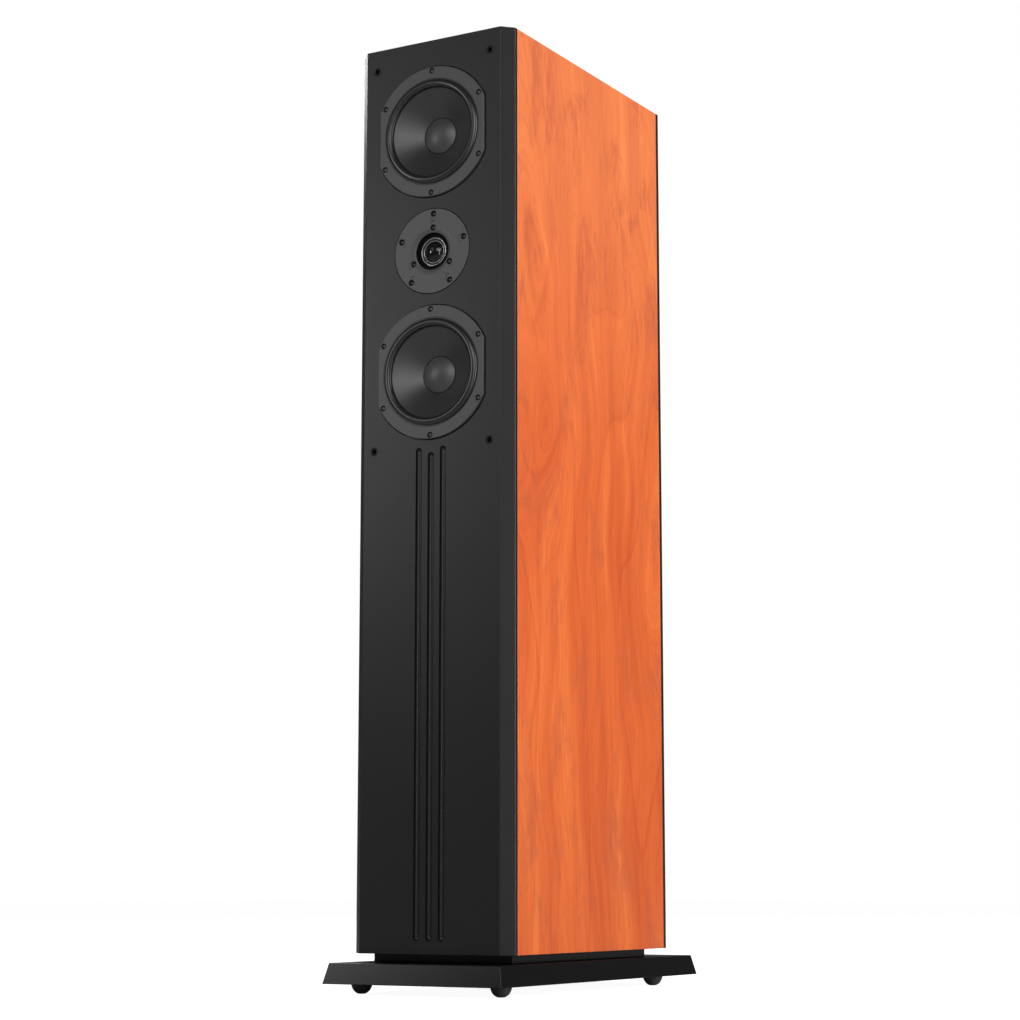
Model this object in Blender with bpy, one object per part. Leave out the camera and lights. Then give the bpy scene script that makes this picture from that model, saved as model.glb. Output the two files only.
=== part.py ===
"""Floorstanding loudspeaker: two cone woofers above and below a dome tweeter.

Metres, +Z up. The origin lies on the floor under the middle of the plinth, and the
baffle faces -Y. Each driver is modelled about its own axis, with z = 0 on its front
plane and +Z pointing forwards, and is then placed by its empty.
"""
from math import acos, atan2, copysign, cos, hypot, pi, radians, sin, sqrt

import bmesh
import bpy
from mathutils import Vector

# ---------------------------------------------------------------- driving dimensions
GAP = 0.0003                # between pieces that touch
FIT = 0.0005                # round a piece that drops into a recess

CABINET_WIDTH = 0.216
CABINET_DEPTH = 0.394
CABINET_HEIGHT = 1.095
BOARD = 0.018               # sides, top and bottom
BAFFLE_THICK = 0.018
BAFFLE_CHAMFER = 0.013      # along both upright front edges
REAR_THICK = 0.018
REAR_LIP = 0.006            # the part of the rear panel that covers the sleeve's edge

BRACE_THICK = 0.015
BRACE_WINDOW = 0.110        # each of the two windows in a brace
BRACE_CORNER = 0.012

PLINTH_HEIGHT = 0.024
PLINTH_FLARE = 0.0055       # how far the foot edge stands out past the top edge
PLINTH_SIDE = 0.012         # plinth beyond each side of the cabinet
PLINTH_AHEAD = 0.0393       # plinth in front of the baffle
PLINTH_BEHIND = 0.0637      # plinth behind the rear panel
RISER_HEIGHT = 0.0095
RISER_INSET_SIDE = 0.014
RISER_INSET_FRONT = 0.0305
RISER_INSET_REAR = 0.0325

FOOT_RADIUS = 0.0123
FOOT_FLAT = 0.004           # radius of the flat that touches the floor
FOOT_SPIGOT = 0.005
FOOT_SPIGOT_LENGTH = 0.009
FOOT_INSET_SIDE = 0.026
FOOT_INSET_FRONT = 0.044
FOOT_INSET_REAR = 0.0745

TWEETER_DROP = 0.2645       # the tweeter's axis below the cabinet's top
DRIVER_LAND = 0.0155        # baffle between the tweeter's plate and either woofer

GROOVE_NOSE = 0.00425       # radius of the round-nosed cutter
GROOVE_DEPTH = 0.004
GROOVE_PITCH = 0.0168
GROOVE_MARGIN = 0.0095      # below the lower woofer's flange
GROOVE_DROP = 0.0064        # how much lower the middle one starts
GROOVE_BOTTOM = 0.0151      # above the cabinet's underside

SOCKET_SIDE = 0.0276        # grille socket in from the cabinet's side
SOCKET_MARGIN = 0.0084      # beyond the rim of the nearest woofer
SOCKET_RADIUS = 0.0045
SOCKET_BORE = 0.0033
SOCKET_DEPTH = 0.0115
SOCKET_FLOOR = 0.0015

WOOFER_RADIUS = 0.081
WOOFER_TRIM = 0.0076        # cut off the round flange at each straight side
WOOFER_PROUD = 0.0028       # flange front in front of the baffle
WOOFER_FLANGE = 0.005
WOOFER_FACE = 0.0148        # width of the flange, from its rim to its mouth
WOOFER_LEDGE = 0.0110       # width of flange that rests on the baffle
WOOFER_SCREWS = 6
WOOFER_SCREW_INSET = 0.0046
SCREW_HOLE = 0.0024
SURROUND_WIDTH = 0.009
CONE_DEPTH = 0.0245
CONE_THICK = 0.0008
CAP_RADIUS = 0.0218
CAP_HEIGHT = 0.0075
CAP_THICK = 0.0008
ROLL_HEIGHT = 0.0036        # half-roll surround above its lips
SURROUND_THICK = 0.0008
COIL_INNER = 0.0160
COIL_WALL = 0.0005
COIL_WINDING = 0.0008
COIL_LENGTH = 0.030
SPIDER_DEPTH = 0.0305
SPIDER_OUTER = 0.0462
SPIDER_WAVE = 0.0012
BASKET_DEPTH = 0.0425
BASKET_WALL = 0.0030
BASKET_LEG = 0.013          # width of each leg between two windows
TAG_WIDTH = 0.016           # connection strip on the lowest leg
TAG_LENGTH = 0.0165
TAG_THICK = 0.005
TAG_DEPTH = 0.022           # behind the flange's front
TAG_INSET = 0.003
TOP_PLATE_RADIUS = 0.042
TOP_PLATE_THICK = 0.006
MAGNET_RADIUS = 0.050
MAGNET_BORE = 0.024
MAGNET_THICK = 0.017
BACK_PLATE_RADIUS = 0.046
BACK_PLATE_THICK = 0.006
MOTOR_GAP = 0.0006          # air round the coil, inside and outside
VENT_RADIUS = 0.005

PLATE_RADIUS = 0.0519       # tweeter faceplate
PLATE_PROUD = 0.0006
PLATE_THICK = 0.0045
PLATE_DISH_RADIUS = 0.0300
PLATE_DISH = 0.0016
PLATE_WELL_RADIUS = 0.0229
PLATE_WELL = 0.0040
TWEETER_CUTOUT = 0.0420
TWEETER_SCREWS = 5
TWEETER_SCREW_INSET = 0.0059
MOTOR_SCREWS = 3
MOTOR_SCREW_CIRCLE = 0.0290
TWEETER_TURN = radians(-2.8)
TRIM_OUTER = 0.0178
TRIM_INNER = 0.0166
DOME_RADIUS = 0.0135
DOME_HEIGHT = 0.0058
DOME_THICK = 0.0004
DOME_COIL_INNER = 0.0125
DOME_COIL_WALL = 0.0006
DOME_COIL_LENGTH = 0.0065
TWEETER_TOP_PLATE_RADIUS = 0.036
TWEETER_TOP_PLATE_THICK = 0.004
TWEETER_MAGNET_BORE = 0.018
TWEETER_MAGNET_THICK = 0.010
TWEETER_BACK_RADIUS = 0.0345
TWEETER_BACK_THICK = 0.004

PORT_HEIGHT = 0.330         # above the cabinet's underside
PORT_BORE = 0.025
PORT_WALL = 0.0025
PORT_LENGTH = 0.110
PORT_FLARE = 0.009
PORT_FLANGE = 0.042
PORT_FLANGE_THICK = 0.003

TERMINAL_HEIGHT = 0.150
TERMINAL_WIDTH = 0.100
TERMINAL_TALL = 0.060
TERMINAL_THICK = 0.003
TERMINAL_CUTOUT = 0.012     # how far the hole in the panel stays inside the plate
POST_PITCH = 0.019
POST_STUD = 0.0030
POST_COLLAR = 0.0075
POST_COLLAR_LENGTH = 0.005
POST_LENGTH = 0.024
PLUG_BORE = 0.00205
KNOB_RADIUS = 0.0068
KNOB_FLUTE = 0.0006
KNOB_LENGTH = 0.015
WASHER_THICK = 0.001
THREAD_PLAY = 0.0003

BOARD_WIDTH = 0.130         # crossover circuit board
BOARD_DEPTH = 0.090
BOARD_THICK = 0.0016
BOARD_STAND = 0.006
CABLE_RADIUS = 0.002
WADDING_THICK = 0.020
WADDING_DEPTH = 0.180

ROUND = 32                  # facets round what shows
PLAIN = 16                  # facets round what stays inside
SMALL = 12                  # facets round small holes and fittings
ROLL_STEPS = 4              # facets across a half-roll

# ---------------------------------------------------------------- sizes that follow
PLINTH_WIDTH = CABINET_WIDTH + 2 * PLINTH_SIDE
PLINTH_DEPTH = PLINTH_AHEAD + CABINET_DEPTH + PLINTH_BEHIND
FRONT = -PLINTH_DEPTH / 2 + PLINTH_AHEAD
REAR = FRONT + CABINET_DEPTH
SLEEVE_FRONT = FRONT + BAFFLE_THICK + GAP
SLEEVE_REAR = REAR - REAR_LIP - GAP
REAR_INSIDE = REAR - REAR_THICK
INNER_WIDTH = CABINET_WIDTH - 2 * BOARD

FOOT_HEIGHT = sqrt(FOOT_RADIUS ** 2 - FOOT_FLAT ** 2)
PLINTH_BOTTOM = FOOT_HEIGHT + GAP
PLINTH_TOP = PLINTH_BOTTOM + PLINTH_HEIGHT
RISER_BOTTOM = PLINTH_TOP + GAP
CABINET_BOTTOM = RISER_BOTTOM + RISER_HEIGHT + GAP
CABINET_TOP = CABINET_BOTTOM + CABINET_HEIGHT
FLOOR_INSIDE = CABINET_BOTTOM + BOARD

WOOFER_FLAT = WOOFER_RADIUS - WOOFER_TRIM       # from the axis to each straight side
WOOFER_MOUTH = WOOFER_RADIUS - WOOFER_FACE
WOOFER_CUTOUT = WOOFER_RADIUS - WOOFER_LEDGE    # hole through the baffle
CONE_RADIUS = WOOFER_MOUTH - SURROUND_WIDTH
CONE_NECK = COIL_INNER + COIL_WALL + 2 * GAP
DRIVER_PITCH = WOOFER_RADIUS + DRIVER_LAND + PLATE_RADIUS
TWEETER_AXIS = CABINET_TOP - TWEETER_DROP
WOOFERS = {
    "woofer_upper": TWEETER_AXIS + DRIVER_PITCH,
    "woofer_lower": TWEETER_AXIS - DRIVER_PITCH,
}

# The upper brace lies between the tweeter's motor and the upper woofer, the lower one
# between the port and the lower woofer.
BRACE_UPPER = TWEETER_AXIS + (TWEETER_TOP_PLATE_RADIUS + DRIVER_PITCH - WOOFER_CUTOUT
                              - BRACE_THICK) / 2
BRACE_LOWER = (CABINET_BOTTOM + PORT_HEIGHT + PORT_FLANGE + WOOFERS["woofer_lower"]
               - WOOFER_CUTOUT - BRACE_THICK) / 2


# ---------------------------------------------------------------- materials
def make_material(name, colour, roughness, metallic=0.0):
    material = bpy.data.materials.new(name)
    material.use_nodes = True
    shader = material.node_tree.nodes["Principled BSDF"]
    shader.inputs["Base Color"].default_value = (*colour, 1.0)
    shader.inputs["Roughness"].default_value = roughness
    shader.inputs["Metallic"].default_value = metallic
    material.diffuse_color = (*colour, 1.0)
    return material


def make_materials():
    return {
        "black_paint": make_material("black_paint", (0.020, 0.020, 0.021), 0.42),
        "veneer": make_material("veneer", (0.78, 0.18, 0.06), 0.45),
        "bare_board": make_material("bare_board", (0.42, 0.29, 0.17), 0.85),
        "gloss_base": make_material("gloss_base", (0.018, 0.018, 0.019), 0.18),
        "rubber": make_material("rubber", (0.012, 0.012, 0.012), 0.55),
        "basket": make_material("basket", (0.055, 0.055, 0.056), 0.50, 0.2),
        "cone": make_material("cone", (0.030, 0.030, 0.031), 0.48),
        "spider_cloth": make_material("spider_cloth", (0.52, 0.34, 0.12), 0.90),
        "copper": make_material("copper", (0.72, 0.32, 0.16), 0.35, 1.0),
        "zinc_steel": make_material("zinc_steel", (0.55, 0.55, 0.56), 0.35, 1.0),
        "ferrite": make_material("ferrite", (0.045, 0.045, 0.048), 0.60),
        "faceplate": make_material("faceplate", (0.070, 0.070, 0.071), 0.55),
        "bright_trim": make_material("bright_trim", (0.80, 0.80, 0.80), 0.15, 1.0),
        "dome_cloth": make_material("dome_cloth", (0.010, 0.010, 0.010), 0.12),
        "black_plastic": make_material("black_plastic", (0.022, 0.022, 0.022), 0.50),
        "gilt": make_material("gilt", (0.85, 0.60, 0.22), 0.22, 1.0),
        "red_plastic": make_material("red_plastic", (0.50, 0.015, 0.012), 0.35),
        "circuit_board": make_material("circuit_board", (0.05, 0.16, 0.06), 0.55),
        "capacitor_film": make_material("capacitor_film", (0.55, 0.42, 0.08), 0.35),
        "cable_jacket": make_material("cable_jacket", (0.35, 0.33, 0.30), 0.55),
        "wadding": make_material("wadding", (0.78, 0.78, 0.76), 0.95),
    }


# ---------------------------------------------------------------- modelling helpers
def add_mesh(name, bm, material=None, parent=None, smooth=False):
    """Turn a bmesh into a named object, rounded over where smooth is asked for."""
    bmesh.ops.recalc_face_normals(bm, faces=bm.faces)
    mesh = bpy.data.meshes.new(name)
    bm.to_mesh(mesh)
    bm.free()
    if smooth:
        mesh.shade_smooth()
        mesh.set_sharp_from_angle(angle=radians(35))
    piece = bpy.data.objects.new(name, mesh)
    bpy.context.collection.objects.link(piece)
    piece.parent = parent
    if material:
        mesh.materials.append(material)
    return piece


def add_empty(name, location, turn=0.0):
    empty = bpy.data.objects.new(name, None)
    bpy.context.collection.objects.link(empty)
    empty.location = location
    empty.rotation_euler = (turn, 0.0, 0.0)
    return empty


def add_cutter(name, bm, parent=None):
    cutter = add_mesh(name, bm, parent=parent)
    cutter.hide_render = True
    cutter.display_type = "WIRE"
    return cutter


def combine(piece, other, operation="DIFFERENCE"):
    modifier = piece.modifiers.new(other.name, "BOOLEAN")
    modifier.operation = operation
    modifier.solver = "EXACT"
    modifier.object = other


def box_mesh(low, high):
    bm = bmesh.new()
    bmesh.ops.create_cube(bm, size=1.0)
    size = [b - a for a, b in zip(low, high)]
    middle = [(a + b) / 2 for a, b in zip(low, high)]
    bmesh.ops.scale(bm, vec=size, verts=bm.verts)
    bmesh.ops.translate(bm, vec=middle, verts=bm.verts)
    return bm


def bevel_edges(bm, along, offset, segments, wanted=None):
    """Bevel the edges that run along one axis, and that wanted() accepts."""
    edges = []
    for edge in bm.edges:
        direction = (edge.verts[0].co - edge.verts[1].co).normalized()
        middle = (edge.verts[0].co + edge.verts[1].co) / 2
        if abs(direction[along]) > 0.99 and (wanted is None or wanted(middle)):
            edges.append(edge)
    bmesh.ops.bevel(bm, geom=edges, offset=offset, segments=segments,
                    affect="EDGES", profile=0.5, material=-1)


def spin_profile(bm, profile, facets, centre=(0, 0)):
    """Spin (radius, z) points about an upright axis. A profile that starts and ends on
    the axis is open there, any other is a closed loop."""
    x, y = centre
    verts = [bm.verts.new((x + radius, y, z)) for radius, z in profile]
    edges = [bm.edges.new(pair) for pair in zip(verts, verts[1:])]
    if profile[0][0] > 0.0:
        edges.append(bm.edges.new((verts[-1], verts[0])))
    bmesh.ops.spin(bm, geom=verts + edges, cent=(x, y, 0), axis=(0, 0, 1), angle=2 * pi,
                   steps=facets, use_merge=True, use_duplicate=False)
    bmesh.ops.remove_doubles(bm, verts=bm.verts, dist=1e-6)


def turned_mesh(profile, facets):
    bm = bmesh.new()
    spin_profile(bm, profile, facets)
    return bm


def turned(name, profile, material, parent, facets=PLAIN):
    return add_mesh(name, turned_mesh(profile, facets), material, parent, smooth=True)


def arc(centre, radius, start, end, steps):
    """Points (r, z) on a circle, from the start angle to the end angle in degrees."""
    points = []
    for step in range(steps + 1):
        angle = radians(start + (end - start) * step / steps)
        points.append((centre[0] + radius * cos(angle), centre[1] + radius * sin(angle)))
    return points


def add_posts(bm, places, radius, low, high, facets=SMALL):
    """Upright round bars at (x, y) places, as separate bodies of one cutter."""
    for x, y in places:
        made = bmesh.ops.create_cone(bm, cap_ends=True, segments=facets, radius1=radius,
                                     radius2=radius, depth=high - low)
        bmesh.ops.translate(bm, vec=(x, y, (low + high) / 2), verts=made["verts"])


def on_circle(count, radius, first=pi / 2):
    return [(radius * cos(first + 2 * pi * k / count),
             radius * sin(first + 2 * pi * k / count)) for k in range(count)]


def flatten_sides(bm, radius, flat, facets=ROUND):
    """Cut a round rim straight at x = flat on both sides, with a point on each corner."""
    corner = acos(flat / radius)
    step = 2 * pi / facets
    nearest = round(corner / step) * step
    for vert in bm.verts:
        x, y = vert.co.x, vert.co.y
        if hypot(x, y) < radius - 1e-5:
            continue
        if abs(atan2(abs(y), abs(x)) - nearest) < step / 4:
            vert.co.y = copysign(radius * sin(corner), y)
            vert.co.x = copysign(flat, x)
        elif abs(x) > flat:
            vert.co.x = copysign(flat, x)


# ---------------------------------------------------------------- cabinet
def make_baffle(materials):
    half = CABINET_WIDTH / 2
    bm = box_mesh((-half, FRONT, CABINET_BOTTOM), (half, FRONT + BAFFLE_THICK, CABINET_TOP))
    middle = FRONT + BAFFLE_THICK / 2
    bevel_edges(bm, 2, BAFFLE_CHAMFER, 1, lambda place: place.y < middle)
    baffle = add_mesh("front_baffle", bm, materials["black_paint"])

    through = -BAFFLE_THICK - 0.01
    for name, height in WOOFERS.items():
        axis = add_empty(name + "_seat", (0, FRONT, height), pi / 2)
        rim = WOOFER_RADIUS + FIT
        floor = WOOFER_PROUD - WOOFER_FLANGE - GAP
        cut = turned_mesh([(0, through), (WOOFER_CUTOUT, through), (WOOFER_CUTOUT, floor),
                           (rim, floor), (rim, 0.01), (0, 0.01)], ROUND)
        flatten_sides(cut, rim, WOOFER_FLAT + FIT)
        combine(baffle, add_cutter(name + "_rebate", cut, axis))

    axis = add_empty("tweeter_seat", (0, FRONT, TWEETER_AXIS), pi / 2)
    rim = PLATE_RADIUS + FIT
    floor = PLATE_PROUD - PLATE_THICK - GAP
    cut = turned_mesh([(0, through), (TWEETER_CUTOUT, through), (TWEETER_CUTOUT, floor),
                       (rim, floor), (rim, 0.01), (0, 0.01)], ROUND)
    combine(baffle, add_cutter("tweeter_rebate", cut, axis))

    axis = add_empty("socket_seats", (0, FRONT, 0), pi / 2)
    bm = bmesh.new()
    add_posts(bm, socket_places(), SOCKET_RADIUS + GAP, -SOCKET_DEPTH - GAP, 0.01)
    combine(baffle, add_cutter("socket_holes", bm, axis))

    bm = bmesh.new()
    for place in (-1, 0, 1):
        top = WOOFERS["woofer_lower"] - WOOFER_RADIUS - GROOVE_MARGIN
        top -= 0.0 if place else GROOVE_DROP
        bottom = CABINET_BOTTOM + GROOVE_BOTTOM
        profile = arc((0, bottom + GROOVE_NOSE), GROOVE_NOSE, -90, 0, 3)
        profile += arc((0, top - GROOVE_NOSE), GROOVE_NOSE, 0, 90, 3)
        profile[0] = (0, bottom)
        profile[-1] = (0, top)
        spin_profile(bm, profile, SMALL,
                     (place * GROOVE_PITCH, FRONT + GROOVE_DEPTH - GROOVE_NOSE))
    combine(baffle, add_cutter("grooves", bm))
    return baffle


def socket_places():
    side = CABINET_WIDTH / 2 - SOCKET_SIDE
    away = DRIVER_PITCH + WOOFER_RADIUS + SOCKET_MARGIN
    return [(x, TWEETER_AXIS + z) for z in (away, -away) for x in (-side, side)]


def make_sleeve(materials):
    """Sides, top and bottom, mitred at the corners like a folded veneered sleeve."""
    half = CABINET_WIDTH / 2
    ease = GAP * sqrt(2)
    low, high = CABINET_BOTTOM, CABINET_TOP
    outlines = {
        "side_panel_right": [(half, low), (half, high), (half - BOARD, high - BOARD),
                             (half - BOARD, low + BOARD)],
        "side_panel_left": [(-half, low), (-half + BOARD, low + BOARD),
                            (-half + BOARD, high - BOARD), (-half, high)],
        "top_panel": [(-half + ease, high), (half - ease, high),
                      (half - BOARD - ease, high - BOARD), (-half + BOARD + ease, high - BOARD)],
        "bottom_panel": [(-half + ease, low), (half - ease, low),
                         (half - BOARD - ease, low + BOARD), (-half + BOARD + ease, low + BOARD)],
    }
    for name, outline in outlines.items():
        bm = bmesh.new()
        face = bm.faces.new([bm.verts.new((x, SLEEVE_FRONT, z)) for x, z in outline])
        made = bmesh.ops.extrude_face_region(bm, geom=[face])
        moved = [item for item in made["geom"] if isinstance(item, bmesh.types.BMVert)]
        bmesh.ops.translate(bm, vec=(0, SLEEVE_REAR - SLEEVE_FRONT, 0), verts=moved)
        material = "bare_board" if name == "bottom_panel" else "veneer"
        add_mesh(name, bm, materials[material])


def make_rear_panel(materials):
    half = CABINET_WIDTH / 2
    bm = box_mesh((-half, REAR - REAR_LIP, CABINET_BOTTOM), (half, REAR, CABINET_TOP))
    front = min(bm.faces, key=lambda face: face.calc_center_median().y)
    bmesh.ops.inset_region(bm, faces=[front], thickness=BOARD + FIT, depth=0.0,
                           use_even_offset=True, use_boundary=True)
    made = bmesh.ops.extrude_face_region(bm, geom=[front])
    moved = [item for item in made["geom"] if isinstance(item, bmesh.types.BMVert)]
    bmesh.ops.translate(bm, vec=(0, REAR_LIP - REAR_THICK, 0), verts=moved)
    bmesh.ops.delete(bm, geom=[front], context="FACES_ONLY")
    panel = add_mesh("rear_panel", bm, materials["black_paint"])

    axis = add_empty("port_seat", (0, REAR, CABINET_BOTTOM + PORT_HEIGHT), -pi / 2)
    bm = bmesh.new()
    add_posts(bm, [(0, 0)], PORT_BORE + PORT_WALL + FIT, -REAR_THICK - 0.01, 0.01, PLAIN)
    combine(panel, add_cutter("port_hole", bm, axis))

    wide = TERMINAL_WIDTH / 2 - TERMINAL_CUTOUT
    tall = TERMINAL_TALL / 2 - TERMINAL_CUTOUT
    middle = CABINET_BOTTOM + TERMINAL_HEIGHT
    bm = box_mesh((-wide, REAR_INSIDE - 0.01, middle - tall), (wide, REAR + 0.01, middle + tall))
    combine(panel, add_cutter("terminal_hole", bm))
    return panel


def make_brace(name, low, materials):
    """A shelf between the walls, with two round-cornered windows."""
    half = INNER_WIDTH / 2 - GAP
    front = SLEEVE_FRONT
    back = REAR_INSIDE - GAP
    bm = box_mesh((-half, front, low), (half, back, low + BRACE_THICK))
    brace = add_mesh(name, bm, materials["bare_board"])
    rib = (back - front - 2 * BRACE_WINDOW) / 3
    window = BRACE_WINDOW / 2
    for place in (0, 1):
        start = front + rib + place * (BRACE_WINDOW + rib)
        bm = box_mesh((-window, start, low - 0.01),
                      (window, start + BRACE_WINDOW, low + BRACE_THICK + 0.01))
        bevel_edges(bm, 2, BRACE_CORNER, 3)
        combine(brace, add_cutter(name + "_window", bm))
    return brace


# ---------------------------------------------------------------- plinth and feet
def foot_places():
    side = PLINTH_WIDTH / 2 - FOOT_INSET_SIDE
    front = -PLINTH_DEPTH / 2 + FOOT_INSET_FRONT
    rear = PLINTH_DEPTH / 2 - FOOT_INSET_REAR
    return {"foot_front_left": (-side, front), "foot_front_right": (side, front),
            "foot_rear_left": (-side, rear), "foot_rear_right": (side, rear)}


def make_plinth(materials):
    half = CABINET_WIDTH / 2 - RISER_INSET_SIDE
    bm = box_mesh((-half, FRONT + RISER_INSET_FRONT, RISER_BOTTOM),
                  (half, REAR - RISER_INSET_REAR, RISER_BOTTOM + RISER_HEIGHT))
    add_mesh("plinth_riser", bm, materials["black_paint"])

    wide, deep = PLINTH_WIDTH / 2, PLINTH_DEPTH / 2
    bm = box_mesh((-wide, -deep, PLINTH_BOTTOM), (wide, deep, PLINTH_TOP))
    for vert in bm.verts:
        if vert.co.z > (PLINTH_BOTTOM + PLINTH_TOP) / 2:
            vert.co.x -= copysign(PLINTH_FLARE, vert.co.x)
            vert.co.y -= copysign(PLINTH_FLARE, vert.co.y)
    base = add_mesh("plinth_base", bm, materials["gloss_base"])
    bm = bmesh.new()
    add_posts(bm, foot_places().values(), FOOT_SPIGOT + GAP, PLINTH_BOTTOM - 0.01,
              PLINTH_BOTTOM + FOOT_SPIGOT_LENGTH)
    combine(base, add_cutter("foot_sockets", bm))


def make_feet(materials):
    """Rubber half-balls, cut flat where they stand, with a spigot up into the plinth."""
    start = atan2(-FOOT_HEIGHT, FOOT_FLAT) * 180 / pi
    profile = [(0, 0)] + arc((0, FOOT_HEIGHT), FOOT_RADIUS, start, 0, 4)
    profile += [(FOOT_SPIGOT, FOOT_HEIGHT), (FOOT_SPIGOT, FOOT_HEIGHT + FOOT_SPIGOT_LENGTH),
                (0, FOOT_HEIGHT + FOOT_SPIGOT_LENGTH)]
    for name, (x, y) in foot_places().items():
        place = add_empty(name + "_place", (x, y, 0))
        turned(name, profile, materials["rubber"], place, facets=14)


# ---------------------------------------------------------------- woofers
def cone_z(radius):
    """Height of the cone's front face: steeper near the neck than at the edge."""
    share = (CONE_RADIUS - radius) / (CONE_RADIUS - CONE_NECK)
    rim = -2 * GAP - SURROUND_THICK
    return rim - (CONE_DEPTH + rim) * (0.86 * share + 0.14 * share ** 2)


def make_basket(name, materials, axis):
    lip = -SURROUND_THICK - 2 * GAP
    inner = WOOFER_MOUTH - 0.003
    shelf = -SPIDER_DEPTH - SPIDER_WAVE - GAP
    seat = SPIDER_OUTER + GAP
    floor = -BASKET_DEPTH
    bore = COIL_INNER + COIL_WALL + COIL_WINDING + 0.003
    profile = [
        (WOOFER_MOUTH, 0), (WOOFER_RADIUS, 0), (WOOFER_RADIUS, -WOOFER_FLANGE),
        (WOOFER_CUTOUT - FIT, -WOOFER_FLANGE), (seat + BASKET_WALL, shelf),
        (seat, floor), (bore, floor), (bore, floor + BASKET_WALL),
        (seat - 0.004, floor + BASKET_WALL), (seat - 0.004, shelf), (seat, shelf),
        (inner, -0.008), (inner, lip), (WOOFER_MOUTH, lip),
    ]
    bm = turned_mesh(profile, ROUND)
    flatten_sides(bm, WOOFER_RADIUS, WOOFER_FLAT)
    basket = add_mesh(name + "_basket", bm, materials["basket"], axis, smooth=True)

    # The tag strip stands out from the lowest leg, below the flange.
    reach = WOOFER_CUTOUT - FIT - TAG_INSET
    bm = box_mesh((-TAG_WIDTH / 2, -reach, -TAG_DEPTH - TAG_THICK),
                  (TAG_WIDTH / 2, -reach + TAG_LENGTH, -TAG_DEPTH))
    combine(basket, add_cutter(name + "_tag_strip", bm, axis), "UNION")

    # Six windows between the legs, and a screw hole at the head of each leg.
    bm = bmesh.new()
    add_posts(bm, on_circle(WOOFER_SCREWS, WOOFER_RADIUS - WOOFER_SCREW_INSET),
              SCREW_HOLE, -0.02, 0.01, 6)
    top, bottom = -0.011, shelf + 0.002
    near, far = seat - 0.010, WOOFER_CUTOUT + 0.004
    for index in range(WOOFER_SCREWS):
        middle = pi / 2 + pi / WOOFER_SCREWS + index * 2 * pi / WOOFER_SCREWS
        wedge = []
        for radius in (near, far):
            half = pi / WOOFER_SCREWS - BASKET_LEG / 2 / radius
            for angle in (middle - half, middle + half):
                wedge.append((radius * cos(angle), radius * sin(angle)))
        outline = [wedge[0], wedge[1], wedge[3], wedge[2]]
        face = bm.faces.new([bm.verts.new((x, y, bottom)) for x, y in outline])
        made = bmesh.ops.extrude_face_region(bm, geom=[face])
        moved = [item for item in made["geom"] if isinstance(item, bmesh.types.BMVert)]
        bmesh.ops.translate(bm, vec=(0, 0, top - bottom), verts=moved)
    combine(basket, add_cutter(name + "_basket_cuts", bm, axis))
    return basket


def make_moving_parts(name, materials, axis):
    rings = 3
    front = []
    for step in range(rings + 1):
        radius = CONE_RADIUS + (CONE_NECK - CONE_RADIUS) * step / rings
        front.append((radius, cone_z(radius)))
    back = [(radius, z - CONE_THICK) for radius, z in reversed(front)]
    turned(name + "_cone", front + back, materials["cone"], axis, ROUND)

    rim = cone_z(CAP_RADIUS) + GAP + CAP_THICK / 2
    ball = (CAP_RADIUS ** 2 + CAP_HEIGHT ** 2) / 2 / CAP_HEIGHT
    centre = (0, rim + CAP_HEIGHT - ball)
    edge = atan2(ball - CAP_HEIGHT, CAP_RADIUS) * 180 / pi
    outside = arc(centre, ball, edge, 90, 4)
    inside = arc(centre, ball - CAP_THICK, 90, edge, 4)
    outside[-1] = (0, rim + CAP_HEIGHT)
    inside[0] = (0, rim + CAP_HEIGHT - CAP_THICK)
    turned_cap(name + "_dust_cap", outside, inside, materials["cone"], axis)

    top = cone_z(CONE_NECK) + 0.002
    wall = COIL_INNER + COIL_WALL
    winding = wall + COIL_WINDING
    bottom = top - COIL_LENGTH
    profile = [(COIL_INNER, top), (wall, top), (wall, bottom + 0.0115), (winding, bottom + 0.0115),
               (winding, bottom + 0.0015), (wall, bottom + 0.0015), (wall, bottom),
               (COIL_INNER, bottom)]
    turned(name + "_voice_coil", profile, materials["copper"], axis)


def turned_cap(name, outside, inside, material, axis, facets=PLAIN):
    """A thin dome: its outer and inner skins both end on the axis."""
    chain = list(reversed(outside)) + list(reversed(inside))
    return turned(name, chain, material, axis, facets)


def make_suspension(name, materials, axis):
    # Half-roll surround: flat lips on the basket's ledge and on the cone's edge.
    thick = SURROUND_THICK
    lip = -GAP - thick
    outer, inner = WOOFER_MOUTH - GAP, CONE_RADIUS - 0.002
    start, end = outer - 0.0022, CONE_RADIUS
    crown = [(end + (start - end) * (0.5 - 0.5 * cos(pi * step / ROLL_STEPS)),
              ROLL_HEIGHT * sin(pi * step / ROLL_STEPS)) for step in range(ROLL_STEPS + 1)]
    front = [(inner, lip + thick)] + [(r, lip + thick + z) for r, z in crown]
    front.append((outer, lip + thick))
    shrink = [(end + thick + (start - end - 2 * thick) * (0.5 - 0.5 * cos(pi * step / ROLL_STEPS)),
               (ROLL_HEIGHT - 0.1 * thick) * sin(pi * step / ROLL_STEPS))
              for step in range(ROLL_STEPS + 1)]
    back = [(inner, lip)] + [(r, lip + z) for r, z in shrink] + [(outer, lip)]
    turned(name + "_surround", front + list(reversed(back)), materials["rubber"], axis, ROUND)

    # Corrugated spider between the coil former and the basket's shelf.
    near = COIL_INNER + COIL_WALL + GAP
    far = SPIDER_OUTER
    steps = 6
    wave = []
    for step in range(steps + 1):
        side = 0 if step in (0, steps) else (1 if step % 2 else -1)
        wave.append((near + (far - near) * step / steps, -SPIDER_DEPTH + side * SPIDER_WAVE))
    under = [(radius, z - 0.0006) for radius, z in reversed(wave)]
    turned(name + "_spider", wave + under, materials["spider_cloth"], axis)


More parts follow.
